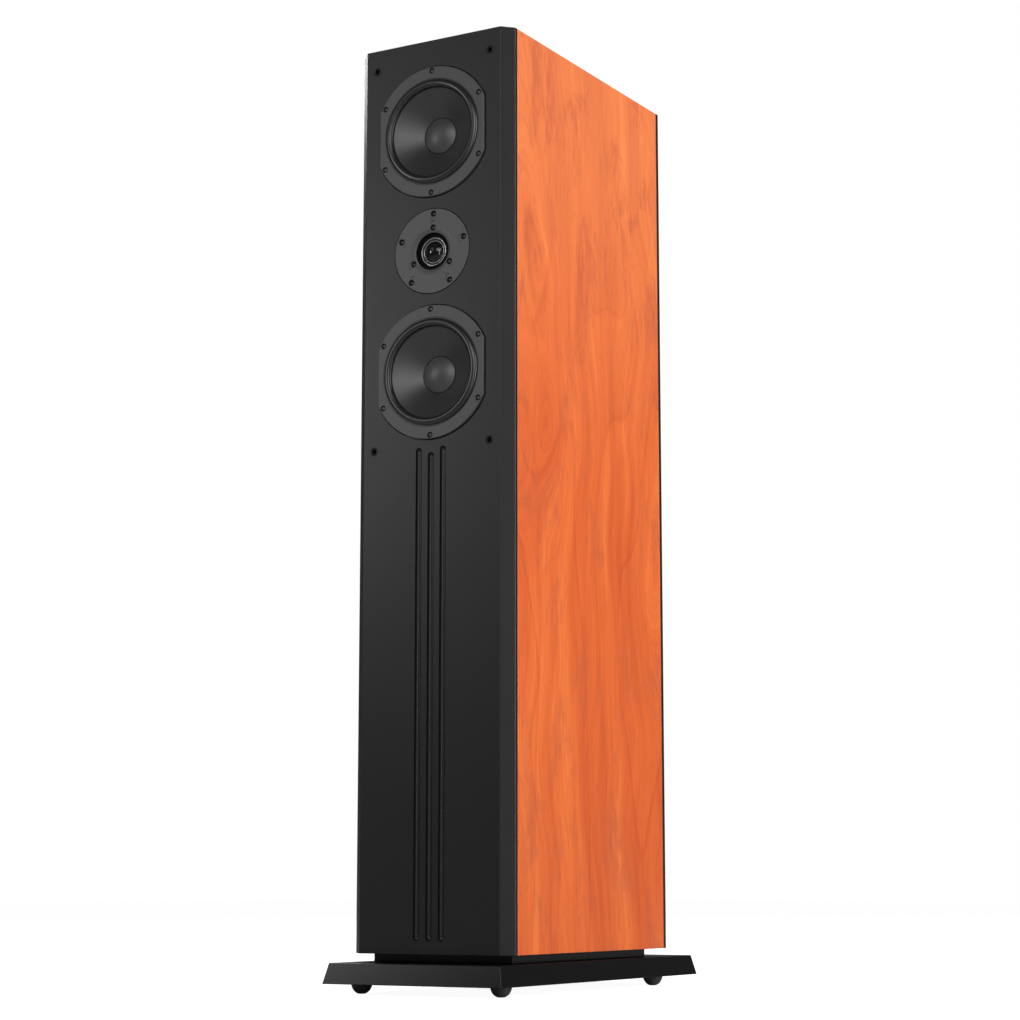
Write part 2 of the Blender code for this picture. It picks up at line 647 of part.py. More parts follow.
def make_motor(name, materials, axis):
    air = COIL_INNER + COIL_WALL + COIL_WINDING + MOTOR_GAP
    pole = COIL_INNER - MOTOR_GAP
    top = -BASKET_DEPTH - GAP
    bottom = top - TOP_PLATE_THICK
    turned(name + "_top_plate", [(air, top), (TOP_PLATE_RADIUS, top),
                                 (TOP_PLATE_RADIUS, bottom), (air, bottom)],
           materials["zinc_steel"], axis)
    high = bottom - GAP
    low = high - MAGNET_THICK
    turned(name + "_magnet", [(MAGNET_BORE, high), (MAGNET_RADIUS, high),
                              (MAGNET_RADIUS, low), (MAGNET_BORE, low)],
           materials["ferrite"], axis)
    face = low - GAP
    turned(name + "_back_plate", [(VENT_RADIUS, top), (pole, top), (pole, face),
                                  (BACK_PLATE_RADIUS, face),
                                  (BACK_PLATE_RADIUS, face - BACK_PLATE_THICK),
                                  (VENT_RADIUS, face - BACK_PLATE_THICK)],
           materials["zinc_steel"], axis)


def make_woofer(name, height, materials):
    axis = add_empty(name + "_axis", (0, FRONT - WOOFER_PROUD, height), pi / 2)
    make_basket(name, materials, axis)
    make_moving_parts(name, materials, axis)
    make_suspension(name, materials, axis)
    make_motor(name, materials, axis)


# ---------------------------------------------------------------- tweeter
def make_tweeter(materials):
    axis = add_empty("tweeter_axis", (0, FRONT - PLATE_PROUD, TWEETER_AXIS), pi / 2)
    well = -PLATE_DISH - PLATE_WELL
    bore = TRIM_OUTER + GAP
    back = -PLATE_THICK
    seat = well - 0.002
    profile = [(PLATE_RADIUS, back), (PLATE_RADIUS, 0), (PLATE_DISH_RADIUS, 0),
               (PLATE_WELL_RADIUS, -PLATE_DISH), (PLATE_WELL_RADIUS - 0.001, well),
               (bore, well), (bore, seat), (TWEETER_CUTOUT - 0.003, seat),
               (TWEETER_CUTOUT - 0.003, back)]
    plate = turned("tweeter_faceplate", profile, materials["faceplate"], axis, ROUND)
    bm = bmesh.new()
    first = pi / 2 + TWEETER_TURN
    add_posts(bm, on_circle(TWEETER_SCREWS, PLATE_RADIUS - TWEETER_SCREW_INSET, first),
              SCREW_HOLE, -0.02, 0.01, 6)
    add_posts(bm, on_circle(MOTOR_SCREWS, MOTOR_SCREW_CIRCLE, first), SCREW_HOLE, -0.02, 0.01, 6)
    combine(plate, add_cutter("tweeter_screw_holes", bm, axis))

    lift = well + 0.0012
    turned("tweeter_trim_ring", [(TRIM_INNER, seat), (TRIM_OUTER, seat), (TRIM_OUTER, lift - 0.0004),
                                 (TRIM_OUTER - 0.0004, lift), (TRIM_INNER, lift)],
           materials["bright_trim"], axis, ROUND)

    # Dome with its roll surround: the roll's lips seat on the motor and on the former.
    motor = seat - GAP
    rim = motor + 0.0018
    near, far = DOME_RADIUS + GAP, TRIM_INNER - GAP
    roll = [(near + (far - near) * (0.5 - 0.5 * cos(pi * step / 4)), 0.0014 * sin(pi * step / 4))
            for step in range(5)]
    front = [(radius, rim + z) for radius, z in roll]
    under = [(radius, rim - 0.0004 + 0.9 * z) for radius, z in reversed(roll)]
    turned("tweeter_surround", front + under, materials["rubber"], axis)

    ball = (DOME_RADIUS ** 2 + DOME_HEIGHT ** 2) / 2 / DOME_HEIGHT
    centre = (0, rim + DOME_HEIGHT - ball)
    edge = atan2(ball - DOME_HEIGHT, DOME_RADIUS) * 180 / pi
    outside = arc(centre, ball, edge, 90, 5)
    inside = arc(centre, ball - DOME_THICK, 90, edge, 5)
    outside[-1] = (0, rim + DOME_HEIGHT)
    inside[0] = (0, rim + DOME_HEIGHT - DOME_THICK)
    turned_cap("tweeter_dome", outside, inside, materials["dome_cloth"], axis)

    wall = DOME_COIL_INNER + DOME_COIL_WALL
    top = rim - 2 * GAP
    turned("tweeter_voice_coil", [(DOME_COIL_INNER, top), (wall, top), (wall, top - DOME_COIL_LENGTH),
                                  (DOME_COIL_INNER, top - DOME_COIL_LENGTH)],
           materials["copper"], axis)

    air = wall + MOTOR_GAP
    pole = DOME_COIL_INNER - MOTOR_GAP
    bottom = motor - TWEETER_TOP_PLATE_THICK
    turned("tweeter_top_plate", [(air, motor), (TWEETER_TOP_PLATE_RADIUS, motor),
                                 (TWEETER_TOP_PLATE_RADIUS, bottom), (air, bottom)],
           materials["zinc_steel"], axis)
    high = bottom - GAP
    low = high - TWEETER_MAGNET_THICK
    turned("tweeter_magnet", [(TWEETER_MAGNET_BORE, high), (TWEETER_TOP_PLATE_RADIUS, high),
                              (TWEETER_TOP_PLATE_RADIUS, low), (TWEETER_MAGNET_BORE, low)],
           materials["ferrite"], axis)
    face = low - GAP
    turned("tweeter_back_plate", [(0, motor), (pole, motor), (pole, face),
                                  (TWEETER_BACK_RADIUS, face),
                                  (TWEETER_BACK_RADIUS, face - TWEETER_BACK_THICK),
                                  (0, face - TWEETER_BACK_THICK)],
           materials["zinc_steel"], axis)
    return face - TWEETER_BACK_THICK


# ---------------------------------------------------------------- fittings
def make_sockets(materials):
    names = ("grille_socket_upper_left", "grille_socket_upper_right",
             "grille_socket_lower_left", "grille_socket_lower_right")
    floor = -SOCKET_DEPTH + SOCKET_FLOOR
    profile = [(0, -SOCKET_DEPTH), (SOCKET_RADIUS, -SOCKET_DEPTH), (SOCKET_RADIUS, 0.0004),
               (SOCKET_BORE, 0.0004), (SOCKET_BORE, floor), (0, floor)]
    for name, (x, z) in zip(names, socket_places()):
        axis = add_empty(name + "_axis", (x, FRONT, z), pi / 2)
        turned(name, profile, materials["black_plastic"], axis, facets=SMALL)


def make_port(materials):
    """Bass-reflex tube, flared where it leaves the rear panel."""
    axis = add_empty("port_axis", (0, REAR, CABINET_BOTTOM + PORT_HEIGHT), -pi / 2)
    outer = PORT_BORE + PORT_WALL
    face = GAP + PORT_FLANGE_THICK
    flare = arc((PORT_BORE + PORT_FLARE, face - PORT_FLARE), PORT_FLARE, 90, 180, 3)
    profile = [(PORT_FLANGE, GAP), (PORT_FLANGE, face)] + flare
    profile += [(PORT_BORE, face - PORT_LENGTH), (outer, face - PORT_LENGTH), (outer, GAP)]
    turned("port_tube", profile, materials["black_plastic"], axis)


def make_terminals(materials):
    middle = CABINET_BOTTOM + TERMINAL_HEIGHT
    wide, tall = TERMINAL_WIDTH / 2, TERMINAL_TALL / 2
    outside = REAR + GAP + TERMINAL_THICK
    bm = box_mesh((-wide, REAR + GAP, middle - tall), (wide, outside, middle + tall))
    bevel_edges(bm, 1, 0.006, 3)
    plate = add_mesh("terminal_plate", bm, materials["black_plastic"])
    bm = bmesh.new()
    places = [(-POST_PITCH / 2, 0), (POST_PITCH / 2, 0)]
    add_posts(bm, places, POST_STUD + FIT, -TERMINAL_THICK - 0.01, 0.01)
    holes = add_empty("post_holes_axis", (0, outside, middle), -pi / 2)
    combine(plate, add_cutter("post_holes", bm, holes))

    collar = GAP + POST_COLLAR_LENGTH
    nut = -TERMINAL_THICK - GAP
    stud = collar + POST_LENGTH - POST_COLLAR_LENGTH
    post = [(0, nut - 0.010), (POST_STUD, nut - 0.010), (POST_STUD, nut - 0.004),
            (POST_COLLAR - 0.002, nut - 0.004), (POST_COLLAR - 0.002, nut), (POST_STUD, nut),
            (POST_STUD, GAP), (POST_COLLAR, GAP), (POST_COLLAR, collar), (POST_STUD, collar),
            (POST_STUD, stud), (PLUG_BORE, stud), (PLUG_BORE, collar), (0, collar)]
    bore = POST_STUD + THREAD_PLAY
    washer = collar + GAP
    knob = washer + WASHER_THICK + GAP
    for colour, side, plastic in (("red", -1, "red_plastic"), ("black", 1, "black_plastic")):
        axis = add_empty(colour + "_post_axis", (side * POST_PITCH / 2, outside, middle), -pi / 2)
        turned("binding_post_" + colour, post, materials["gilt"], axis, facets=SMALL)
        turned("clamp_washer_" + colour, [(bore, washer), (KNOB_RADIUS, washer),
                                          (KNOB_RADIUS, washer + WASHER_THICK),
                                          (bore, washer + WASHER_THICK)],
               materials["gilt"], axis, facets=16)
        bm = turned_mesh([(bore, knob), (KNOB_RADIUS, knob), (KNOB_RADIUS, knob + KNOB_LENGTH),
                          (bore, knob + KNOB_LENGTH)], 24)
        flute_knob(bm)
        add_mesh("terminal_knob_" + colour, bm, materials[plastic], axis, smooth=True)


def flute_knob(bm):
    """Draw every third strip of the grip inwards, which leaves eight flutes."""
    for vert in bm.verts:
        radius = hypot(vert.co.x, vert.co.y)
        strip = round(atan2(vert.co.y, vert.co.x) / (2 * pi / 24)) % 3
        if radius > KNOB_RADIUS - 1e-5 and strip == 0:
            vert.co.x *= (KNOB_RADIUS - KNOB_FLUTE) / KNOB_RADIUS
            vert.co.y *= (KNOB_RADIUS - KNOB_FLUTE) / KNOB_RADIUS


# ---------------------------------------------------------------- inside the cabinet
def make_crossover(materials):
    """Circuit board on four stand-offs on the cabinet's floor, with its large pieces."""
    y = SLEEVE_FRONT + 0.17
    under = FLOOR_INSIDE + GAP + BOARD_STAND
    top = under + BOARD_THICK
    wide, deep = BOARD_WIDTH / 2, BOARD_DEPTH / 2
    board = add_mesh("crossover_board", box_mesh((-wide, y - deep, under), (wide, y + deep, top)),
                     materials["circuit_board"])
    legs = bmesh.new()
    places = [(sx * (wide - 0.007), y + sy * (deep - 0.007)) for sx in (-1, 1) for sy in (-1, 1)]
    add_posts(legs, places, 0.004, FLOOR_INSIDE + GAP, under + BOARD_THICK / 2, 8)
    combine(board, add_cutter("board_legs", legs), "UNION")

    stand = top + GAP
    coil = add_empty("inductor_woofer_place", (-0.035, y, stand))
    turned("inductor_woofer", [(0.010, 0), (0.024, 0), (0.024, 0.022), (0.010, 0.022)],
           materials["copper"], coil)
    coil = add_empty("inductor_tweeter_place", (0.015, y - 0.022, stand))
    turned("inductor_tweeter", [(0.007, 0), (0.015, 0), (0.015, 0.014), (0.007, 0.014)],
           materials["copper"], coil, facets=SMALL)
    radius = 0.010
    can = add_empty("capacitor_place", (0.028, y + 0.022, stand + radius))
    can.rotation_euler = (0, pi / 2, 0)
    turned("capacitor", [(0, -0.022), (radius - 0.001, -0.022), (radius, -0.021), (radius, 0.021),
                         (radius - 0.001, 0.022), (0, 0.022)],
           materials["capacitor_film"], can, facets=SMALL)
    return y, top


def smooth_route(points, steps=3):
    """A Catmull-Rom curve through the route's own points, with straight ends."""
    route = [points[0]]
    for a, b, c, d in zip(points, points[1:], points[2:], points[3:]):
        for step in range(steps):
            t = step / steps
            route.append(0.5 * (2 * b + (c - a) * t + (2 * a - 5 * b + 4 * c - d) * t ** 2
                                + (3 * b - a - 3 * c + d) * t ** 3))
    return route + [points[-2], points[-1]]


def add_cable(name, points, material):
    curve = bpy.data.curves.new(name, "CURVE")
    curve.dimensions = "3D"
    curve.bevel_depth = CABLE_RADIUS
    curve.bevel_resolution = 2
    curve.use_fill_caps = True
    route = smooth_route([Vector(point) for point in points])
    spline = curve.splines.new("POLY")
    spline.points.add(len(route) - 1)
    for point, place in zip(spline.points, route):
        point.co = (*place, 1.0)
    curve.materials.append(material)
    cable = bpy.data.objects.new(name, curve)
    bpy.context.collection.objects.link(cable)


def make_cables(board_y, board_top, tweeter_back, materials):
    """Two leads rise from the board, and a link joins the two woofers."""
    jacket = materials["cable_jacket"]
    start = board_top + GAP
    riser_y = SLEEVE_FRONT + 0.222
    tag_y = FRONT - WOOFER_PROUD + TAG_DEPTH + TAG_THICK + GAP
    lower, upper = WOOFERS["woofer_lower"], WOOFERS["woofer_upper"]
    tag = -(WOOFER_CUTOUT - FIT - TAG_INSET - 0.0065)
    behind = FRONT + 0.095
    add_cable("cable_woofer", [
        (-0.004, board_y + 0.030, start), (-0.004, board_y + 0.030, start + 0.015),
        (-0.006, board_y + 0.038, start + 0.05),
        (-0.012, riser_y, start + 0.12), (-0.014, riser_y, lower - 0.20),
        (-0.008, riser_y - 0.04, lower - 0.11), (-0.004, behind, lower + tag - 0.012),
        (-0.004, tag_y + 0.015, lower + tag), (-0.004, tag_y, lower + tag)], jacket)
    add_cable("cable_woofer_link", [
        (0.004, tag_y, lower + tag), (0.004, tag_y + 0.015, lower + tag),
        (0.018, behind, lower - 0.03), (0.030, behind + 0.004, lower + 0.06),
        (0.030, behind + 0.004, upper - 0.12), (0.012, behind - 0.02, upper + tag - 0.012),
        (0.004, tag_y + 0.015, upper + tag), (0.004, tag_y, upper + tag)], jacket)
    back_y = FRONT - PLATE_PROUD - tweeter_back + GAP
    add_cable("cable_tweeter", [
        (0.048, board_y - 0.018, start), (0.048, board_y - 0.018, start + 0.015),
        (0.048, board_y, start + 0.06),
        (0.040, riser_y, start + 0.14), (0.036, riser_y, TWEETER_AXIS - 0.20),
        (0.010, riser_y - 0.05, TWEETER_AXIS - 0.08), (-0.012, back_y + 0.06, TWEETER_AXIS - 0.012),
        (-0.014, back_y + 0.015, TWEETER_AXIS), (-0.014, back_y, TWEETER_AXIS)], jacket)


def make_wadding(materials):
    """Polyester sheet that lines the sides and back behind the woofers."""
    room = 0.001
    half = INNER_WIDTH / 2 - room
    back = REAR_INSIDE - room
    inside = half - WADDING_THICK
    low = BRACE_LOWER + BRACE_THICK + 0.004
    high = BRACE_UPPER - 0.004
    outline = [(-half, back - WADDING_DEPTH), (-inside, back - WADDING_DEPTH),
               (-inside, back - WADDING_THICK), (inside, back - WADDING_THICK),
               (inside, back - WADDING_DEPTH), (half, back - WADDING_DEPTH),
               (half, back), (-half, back)]
    bm = bmesh.new()
    face = bm.faces.new([bm.verts.new((x, y, low)) for x, y in outline])
    made = bmesh.ops.extrude_face_region(bm, geom=[face])
    moved = [item for item in made["geom"] if isinstance(item, bmesh.types.BMVert)]
    bmesh.ops.translate(bm, vec=(0, 0, high - low), verts=moved)
    add_mesh("damping_wadding", bm, materials["wadding"])


# ---------------------------------------------------------------- the loudspeaker
def main():
    for item in list(bpy.data.objects):
        bpy.data.objects.remove(item, do_unlink=True)
    materials = make_materials()
    make_baffle(materials)
    make_sleeve(materials)
    make_rear_panel(materials)
    make_brace("brace_lower", BRACE_LOWER, materials)
    make_brace("brace_upper", BRACE_UPPER, materials)
    make_plinth(materials)
    make_feet(materials)
    for name, height in WOOFERS.items():
        make_woofer(name, height, materials)
    tweeter_back = make_tweeter(materials)
    make_sockets(materials)
    make_port(materials)
    make_terminals(materials)
    board_y, board_top = make_crossover(materials)
    make_cables(board_y, board_top, tweeter_back, materials)
    make_wadding(materials)


main()
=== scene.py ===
"""Looks of the floorstanding loudspeaker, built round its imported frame.

Metres, +Z up, and the baffle faces -Y. Round pieces are spun about Z with their front
towards +Z, and are then turned to face forwards or backwards.
"""

from math import acos, atan2, copysign, cos, hypot, pi, radians, sin, sqrt, tan

import bmesh
import bpy
from mathutils import Matrix, Vector


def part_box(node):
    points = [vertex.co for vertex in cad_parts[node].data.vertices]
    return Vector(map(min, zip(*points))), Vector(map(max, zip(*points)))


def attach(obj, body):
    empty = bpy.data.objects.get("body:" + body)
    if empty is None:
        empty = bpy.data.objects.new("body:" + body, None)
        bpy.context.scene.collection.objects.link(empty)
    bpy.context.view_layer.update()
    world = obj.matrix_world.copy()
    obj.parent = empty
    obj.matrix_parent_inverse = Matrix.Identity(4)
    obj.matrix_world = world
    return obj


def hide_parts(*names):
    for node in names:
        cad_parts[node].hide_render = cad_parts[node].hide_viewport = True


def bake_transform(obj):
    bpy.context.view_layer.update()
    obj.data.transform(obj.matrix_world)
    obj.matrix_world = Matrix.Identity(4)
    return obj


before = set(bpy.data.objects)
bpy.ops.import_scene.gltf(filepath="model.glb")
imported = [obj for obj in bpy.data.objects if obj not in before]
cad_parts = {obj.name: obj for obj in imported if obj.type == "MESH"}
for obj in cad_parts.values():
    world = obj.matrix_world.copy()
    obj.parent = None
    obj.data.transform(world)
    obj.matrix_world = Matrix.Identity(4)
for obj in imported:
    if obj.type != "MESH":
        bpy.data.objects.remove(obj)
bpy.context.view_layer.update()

MM = 0.001
GAP = 0.3 * MM              # between pieces that touch

FORWARDS = Matrix.Rotation(pi / 2, 4, "X")      # +Z of a spun piece turns to -Y
BACKWARDS = Matrix.Rotation(-pi / 2, 4, "X")    # +Z of a spun piece turns to +Y

# ---------------------------------------------------------------- places from the frame
baffle_low, baffle_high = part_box("front_baffle")
FRONT = baffle_low.y
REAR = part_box("rear_panel")[1].y
HALF_WIDTH = baffle_high.x
CABINET_BOTTOM = baffle_low.z
CABINET_TOP = baffle_high.z
BAFFLE_THICK = baffle_high.y - baffle_low.y


def height_of(node):
    """The middle height of a CAD node."""
    low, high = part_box(node)
    return (low.z + high.z) / 2


def radius_of(node):
    """The radius of a round CAD node that faces forwards or backwards."""
    low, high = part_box(node)
    return (high.z - low.z) / 2


WOOFERS = {name: height_of(name + "_cone") for name in ("woofer_upper", "woofer_lower")}
WOOFER_RIM = radius_of("woofer_upper_basket")
WOOFER_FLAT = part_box("woofer_upper_basket")[1].x
WOOFER_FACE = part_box("woofer_upper_basket")[0].y
WOOFER_MOUTH = radius_of("woofer_upper_surround") + GAP
CONE_RIM = radius_of("woofer_upper_cone")
CAP_RIM = radius_of("woofer_upper_dust_cap")
TWEETER_HEIGHT = height_of("tweeter_dome")
TWEETER_RIM = radius_of("tweeter_faceplate")
TWEETER_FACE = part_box("tweeter_faceplate")[0].y
DOME_RIM = radius_of("tweeter_dome")
TRIM_RIM = radius_of("tweeter_trim_ring")
POST_AXIS = (abs(sum(corner.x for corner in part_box("binding_post_red"))) / 2,
             height_of("binding_post_red"))

WOOFER_SCREWS = 6
WOOFER_SCREW_CIRCLE = WOOFER_RIM - 4.6 * MM
TWEETER_SCREWS = 5
TWEETER_SCREW_CIRCLE = TWEETER_RIM - 5.9 * MM
MOTOR_SCREWS = 3
MOTOR_SCREW_CIRCLE = 29.0 * MM
TWEETER_TURN = radians(-2.8)
FLANGE_THICK = 5.0 * MM
CONE_DEPTH = 24.5 * MM
CONE_NECK = 17.1 * MM
CONE_THICK = 0.8 * MM
BASKET_DEPTH = 42.5 * MM
SPIDER_DEPTH = 30.5 * MM
SPIDER_RIM = 46.2 * MM


# ---------------------------------------------------------------- material building blocks
def new_material(name):
    """An empty material: its node tree and its Principled BSDF."""
    material = bpy.data.materials.new(name)
    material.use_nodes = True
    tree = material.node_tree
    return material, tree, tree.nodes["Principled BSDF"]


def add_node(tree, kind, inputs=None, **settings):
    """A shader node with its settings, and its inputs by name: a value or a socket."""
    node = tree.nodes.new("ShaderNode" + kind)
    for name, value in settings.items():
        setattr(node, name, value)
    for name, value in (inputs or {}).items():
        if isinstance(value, bpy.types.NodeSocket):
            tree.links.new(value, node.inputs[name])
        else:
            node.inputs[name].default_value = value
    return node


def maths(tree, operation, first, second=0.0):
    return add_node(tree, "Math", {0: first, 1: second}, operation=operation).outputs[0]


def plus(tree, first, second):
    return maths(tree, "ADD", first, second)


def times(tree, first, second):
    return maths(tree, "MULTIPLY", first, second)


def noise(tree, vector, scale, detail=2.0, roughness=0.5, distortion=0.0):
    node = add_node(tree, "TexNoise", {"Vector": vector, "Scale": scale, "Detail": detail,
                                       "Roughness": roughness, "Distortion": distortion})
    return node.outputs["Fac"]


def stretched(tree, vector, scale, place=(0, 0, 0)):
    node = add_node(tree, "Mapping", {"Vector": vector, "Scale": scale, "Location": place})
    return node.outputs[0]


def ramp(tree, factor, stops):
    """Colours or greys at their positions along a factor."""
    node = add_node(tree, "ValToRGB", {0: factor})
    elements = node.color_ramp.elements
    while len(elements) < len(stops):
        elements.new(0.5)
    for element, (position, colour) in zip(elements, stops):
        element.position = position
        element.color = (*colour, 1) if isinstance(colour, tuple) else (colour,) * 3 + (1,)
    return node.outputs[0]


def span(tree, value, low, high, to_low=0.0, to_high=1.0):
    """A value between low and high, spread smoothly over another range."""
    node = add_node(tree, "MapRange", {"Value": value, "From Min": low, "From Max": high,
                                       "To Min": to_low, "To Max": to_high})
    node.interpolation_type = "SMOOTHSTEP"
    return node.outputs[0]


def blend_colour(tree, factor, first, second):
    node = add_node(tree, "Mix", {0: factor, 6: first, 7: second}, data_type="RGBA")
    return node.outputs[2]


def object_place(tree):
    return add_node(tree, "TexCoord").outputs["Object"]


def bump(tree, height, distance, strength=1.0):
    return add_node(tree, "Bump", {"Height": height, "Distance": distance,
                                   "Strength": strength}).outputs[0]


def new_group(name, inputs, outputs):
    """A shader node group with named inputs, given as (name, kind, default)."""
    tree = bpy.data.node_groups.new(name, "ShaderNodeTree")
    for label, kind, value in inputs:
        socket = tree.interface.new_socket(label, in_out="INPUT", socket_type="NodeSocket" + kind)
        if value is not None:
            socket.default_value = value
    for label, kind in outputs:
        tree.interface.new_socket(label, in_out="OUTPUT", socket_type="NodeSocket" + kind)
    return tree, tree.nodes.new("NodeGroupInput").outputs, tree.nodes.new("NodeGroupOutput").inputs


def use_group(tree, group, inputs):
    node = tree.nodes.new("ShaderNodeGroup")
    node.node_tree = group
    for name, value in inputs.items():
        if isinstance(value, bpy.types.NodeSocket):
            tree.links.new(value, node.inputs[name])
        else:
            node.inputs[name].default_value = value
    return node.outputs


# ---------------------------------------------------------------- shared effects
def make_fine_grain():
    """The fine, even texture of spray paint and moulded plastic, with a little mottle."""
    tree, given, out = new_group(
        "fine_grain",
        [("Colour", "Color", (0.02, 0.02, 0.02, 1)), ("Roughness", "Float", 0.4),
         ("Grain", "Float", 2200.0), ("Mottle", "Float", 0.1)],
        [("Colour", "Color"), ("Roughness", "Float"), ("Height", "Float")])
    place = object_place(tree)
    grain = noise(tree, place, given["Grain"], 2.0, 0.6)
    cloud = noise(tree, place, 14.0, 3.0, 0.55)
    shift = times(tree, maths(tree, "SUBTRACT", cloud, 0.5), given["Mottle"])
    fine = times(tree, maths(tree, "SUBTRACT", grain, 0.5), given["Mottle"])
    both = plus(tree, shift, fine)
    bright = plus(tree, times(tree, both, 1.2), 1.0)
    colour = add_node(tree, "VectorMath", {0: given["Colour"], "Scale": bright}, operation="SCALE")
    tree.links.new(colour.outputs[0], out["Colour"])
    tree.links.new(plus(tree, given["Roughness"], both), out["Roughness"])
    tree.links.new(grain, out["Height"])
    return tree


def make_turning_marks():
    """Fine rings that a lathe leaves, about an axis that runs from front to back. The axis
    is Side away from the middle of the loudspeaker, to the left and to the right."""
    tree, given, out = new_group(
        "turning_marks",
        [("Side", "Float", 0.0), ("Height", "Float", 0.0), ("Rings", "Float", 4000.0),
         ("Roughness", "Float", 0.3), ("Spread", "Float", 0.12)],
        [("Roughness", "Float"), ("Height", "Float")])
    parts = add_node(tree, "SeparateXYZ", {0: object_place(tree)}).outputs
    side = maths(tree, "SUBTRACT", maths(tree, "ABSOLUTE", parts["X"]), given["Side"])
    rise = maths(tree, "SUBTRACT", parts["Z"], given["Height"])
    radius = maths(tree, "SQRT", plus(tree, times(tree, side, side), times(tree, rise, rise)))
    rings = add_node(tree, "CombineXYZ", {0: times(tree, radius, given["Rings"]),
                                          1: times(tree, parts["Y"], given["Rings"])})
    marks = noise(tree, rings.outputs[0], 1.0, 3.0, 0.6)
    swing = times(tree, maths(tree, "SUBTRACT", marks, 0.5), given["Spread"])
    tree.links.new(plus(tree, given["Roughness"], swing), out["Roughness"])
    tree.links.new(marks, out["Height"])
    return tree


def make_cloth_weave():
    """Warp and weft of woven cloth over two directions of the given vector."""
    tree, given, out = new_group(
        "cloth_weave",
        [("Vector", "Vector", None), ("Threads", "Float", 2500.0)],
        [("Height", "Float"), ("Shade", "Float")])
    parts = add_node(tree, "SeparateXYZ", {0: given["Vector"]}).outputs
    warp = maths(tree, "SINE", times(tree, parts["X"], given["Threads"]))
    weft = maths(tree, "SINE", times(tree, parts["Z"], given["Threads"]))
    height = times(tree, warp, weft)
    tree.links.new(height, out["Height"])
    # Shade is painted shade: the cloth is darker where the weave dips between threads.
    tree.links.new(span(tree, height, -1.0, 1.0, 0.75, 1.0), out["Shade"])
    return tree


FINE_GRAIN = make_fine_grain()
TURNING_MARKS = make_turning_marks()
CLOTH_WEAVE = make_cloth_weave()


# ---------------------------------------------------------------- finishes
def grained(name, colour, roughness, grain=2200.0, mottle=0.08, depth=0.03 * MM, metallic=0.0,
            specular=0.5):
    """Paint, moulded plastic or rubber with the fine grain."""
    material, tree, shader = new_material(name)
    texture = use_group(tree, FINE_GRAIN, {"Colour": (*colour, 1), "Roughness": roughness,
                                           "Grain": grain, "Mottle": mottle})
    tree.links.new(texture["Colour"], shader.inputs["Base Color"])
    tree.links.new(texture["Roughness"], shader.inputs["Roughness"])
    tree.links.new(bump(tree, texture["Height"], depth), shader.inputs["Normal"])
    shader.inputs["Metallic"].default_value = metallic
    shader.inputs["Specular IOR Level"].default_value = specular
    return material


def turned_metal(name, colour, roughness, axis, rings=4000.0, spread=0.12):
    """Plated metal with lathe marks about an axis at (side, height)."""
    material, tree, shader = new_material(name)
    marks = use_group(tree, TURNING_MARKS, {"Side": axis[0], "Height": axis[1], "Rings": rings,
                                            "Roughness": roughness, "Spread": spread})
    tint = noise(tree, object_place(tree), 60.0, 2.0)
    dull = tuple(0.82 * part for part in colour)
    tree.links.new(ramp(tree, tint, [(0.3, dull), (0.6, colour)]), shader.inputs["Base Color"])
    tree.links.new(marks["Roughness"], shader.inputs["Roughness"])
    tree.links.new(bump(tree, marks["Height"], 0.002 * MM), shader.inputs["Normal"])
    shader.inputs["Metallic"].default_value = 1.0
    return material


def woven(name, colour, roughness, threads=2500.0, depth=0.08 * MM):
    """Cloth: the spiders, and the wadding with a coarse weave."""
    material, tree, shader = new_material(name)
    weave = use_group(tree, CLOTH_WEAVE, {"Vector": object_place(tree), "Threads": threads})
    fluff = noise(tree, object_place(tree), 90.0, 3.0)
    dark = tuple(0.55 * part for part in colour)
    # The weave's painted shade darkens the cloth in its dips.
    shade = times(tree, fluff, weave["Shade"])
    tree.links.new(ramp(tree, shade, [(0.2, dark), (0.6, colour)]), shader.inputs["Base Color"])
    tree.links.new(bump(tree, weave["Height"], depth), shader.inputs["Normal"])
    shader.inputs["Roughness"].default_value = roughness
    shader.inputs["Sheen Weight"].default_value = 0.3
    return material


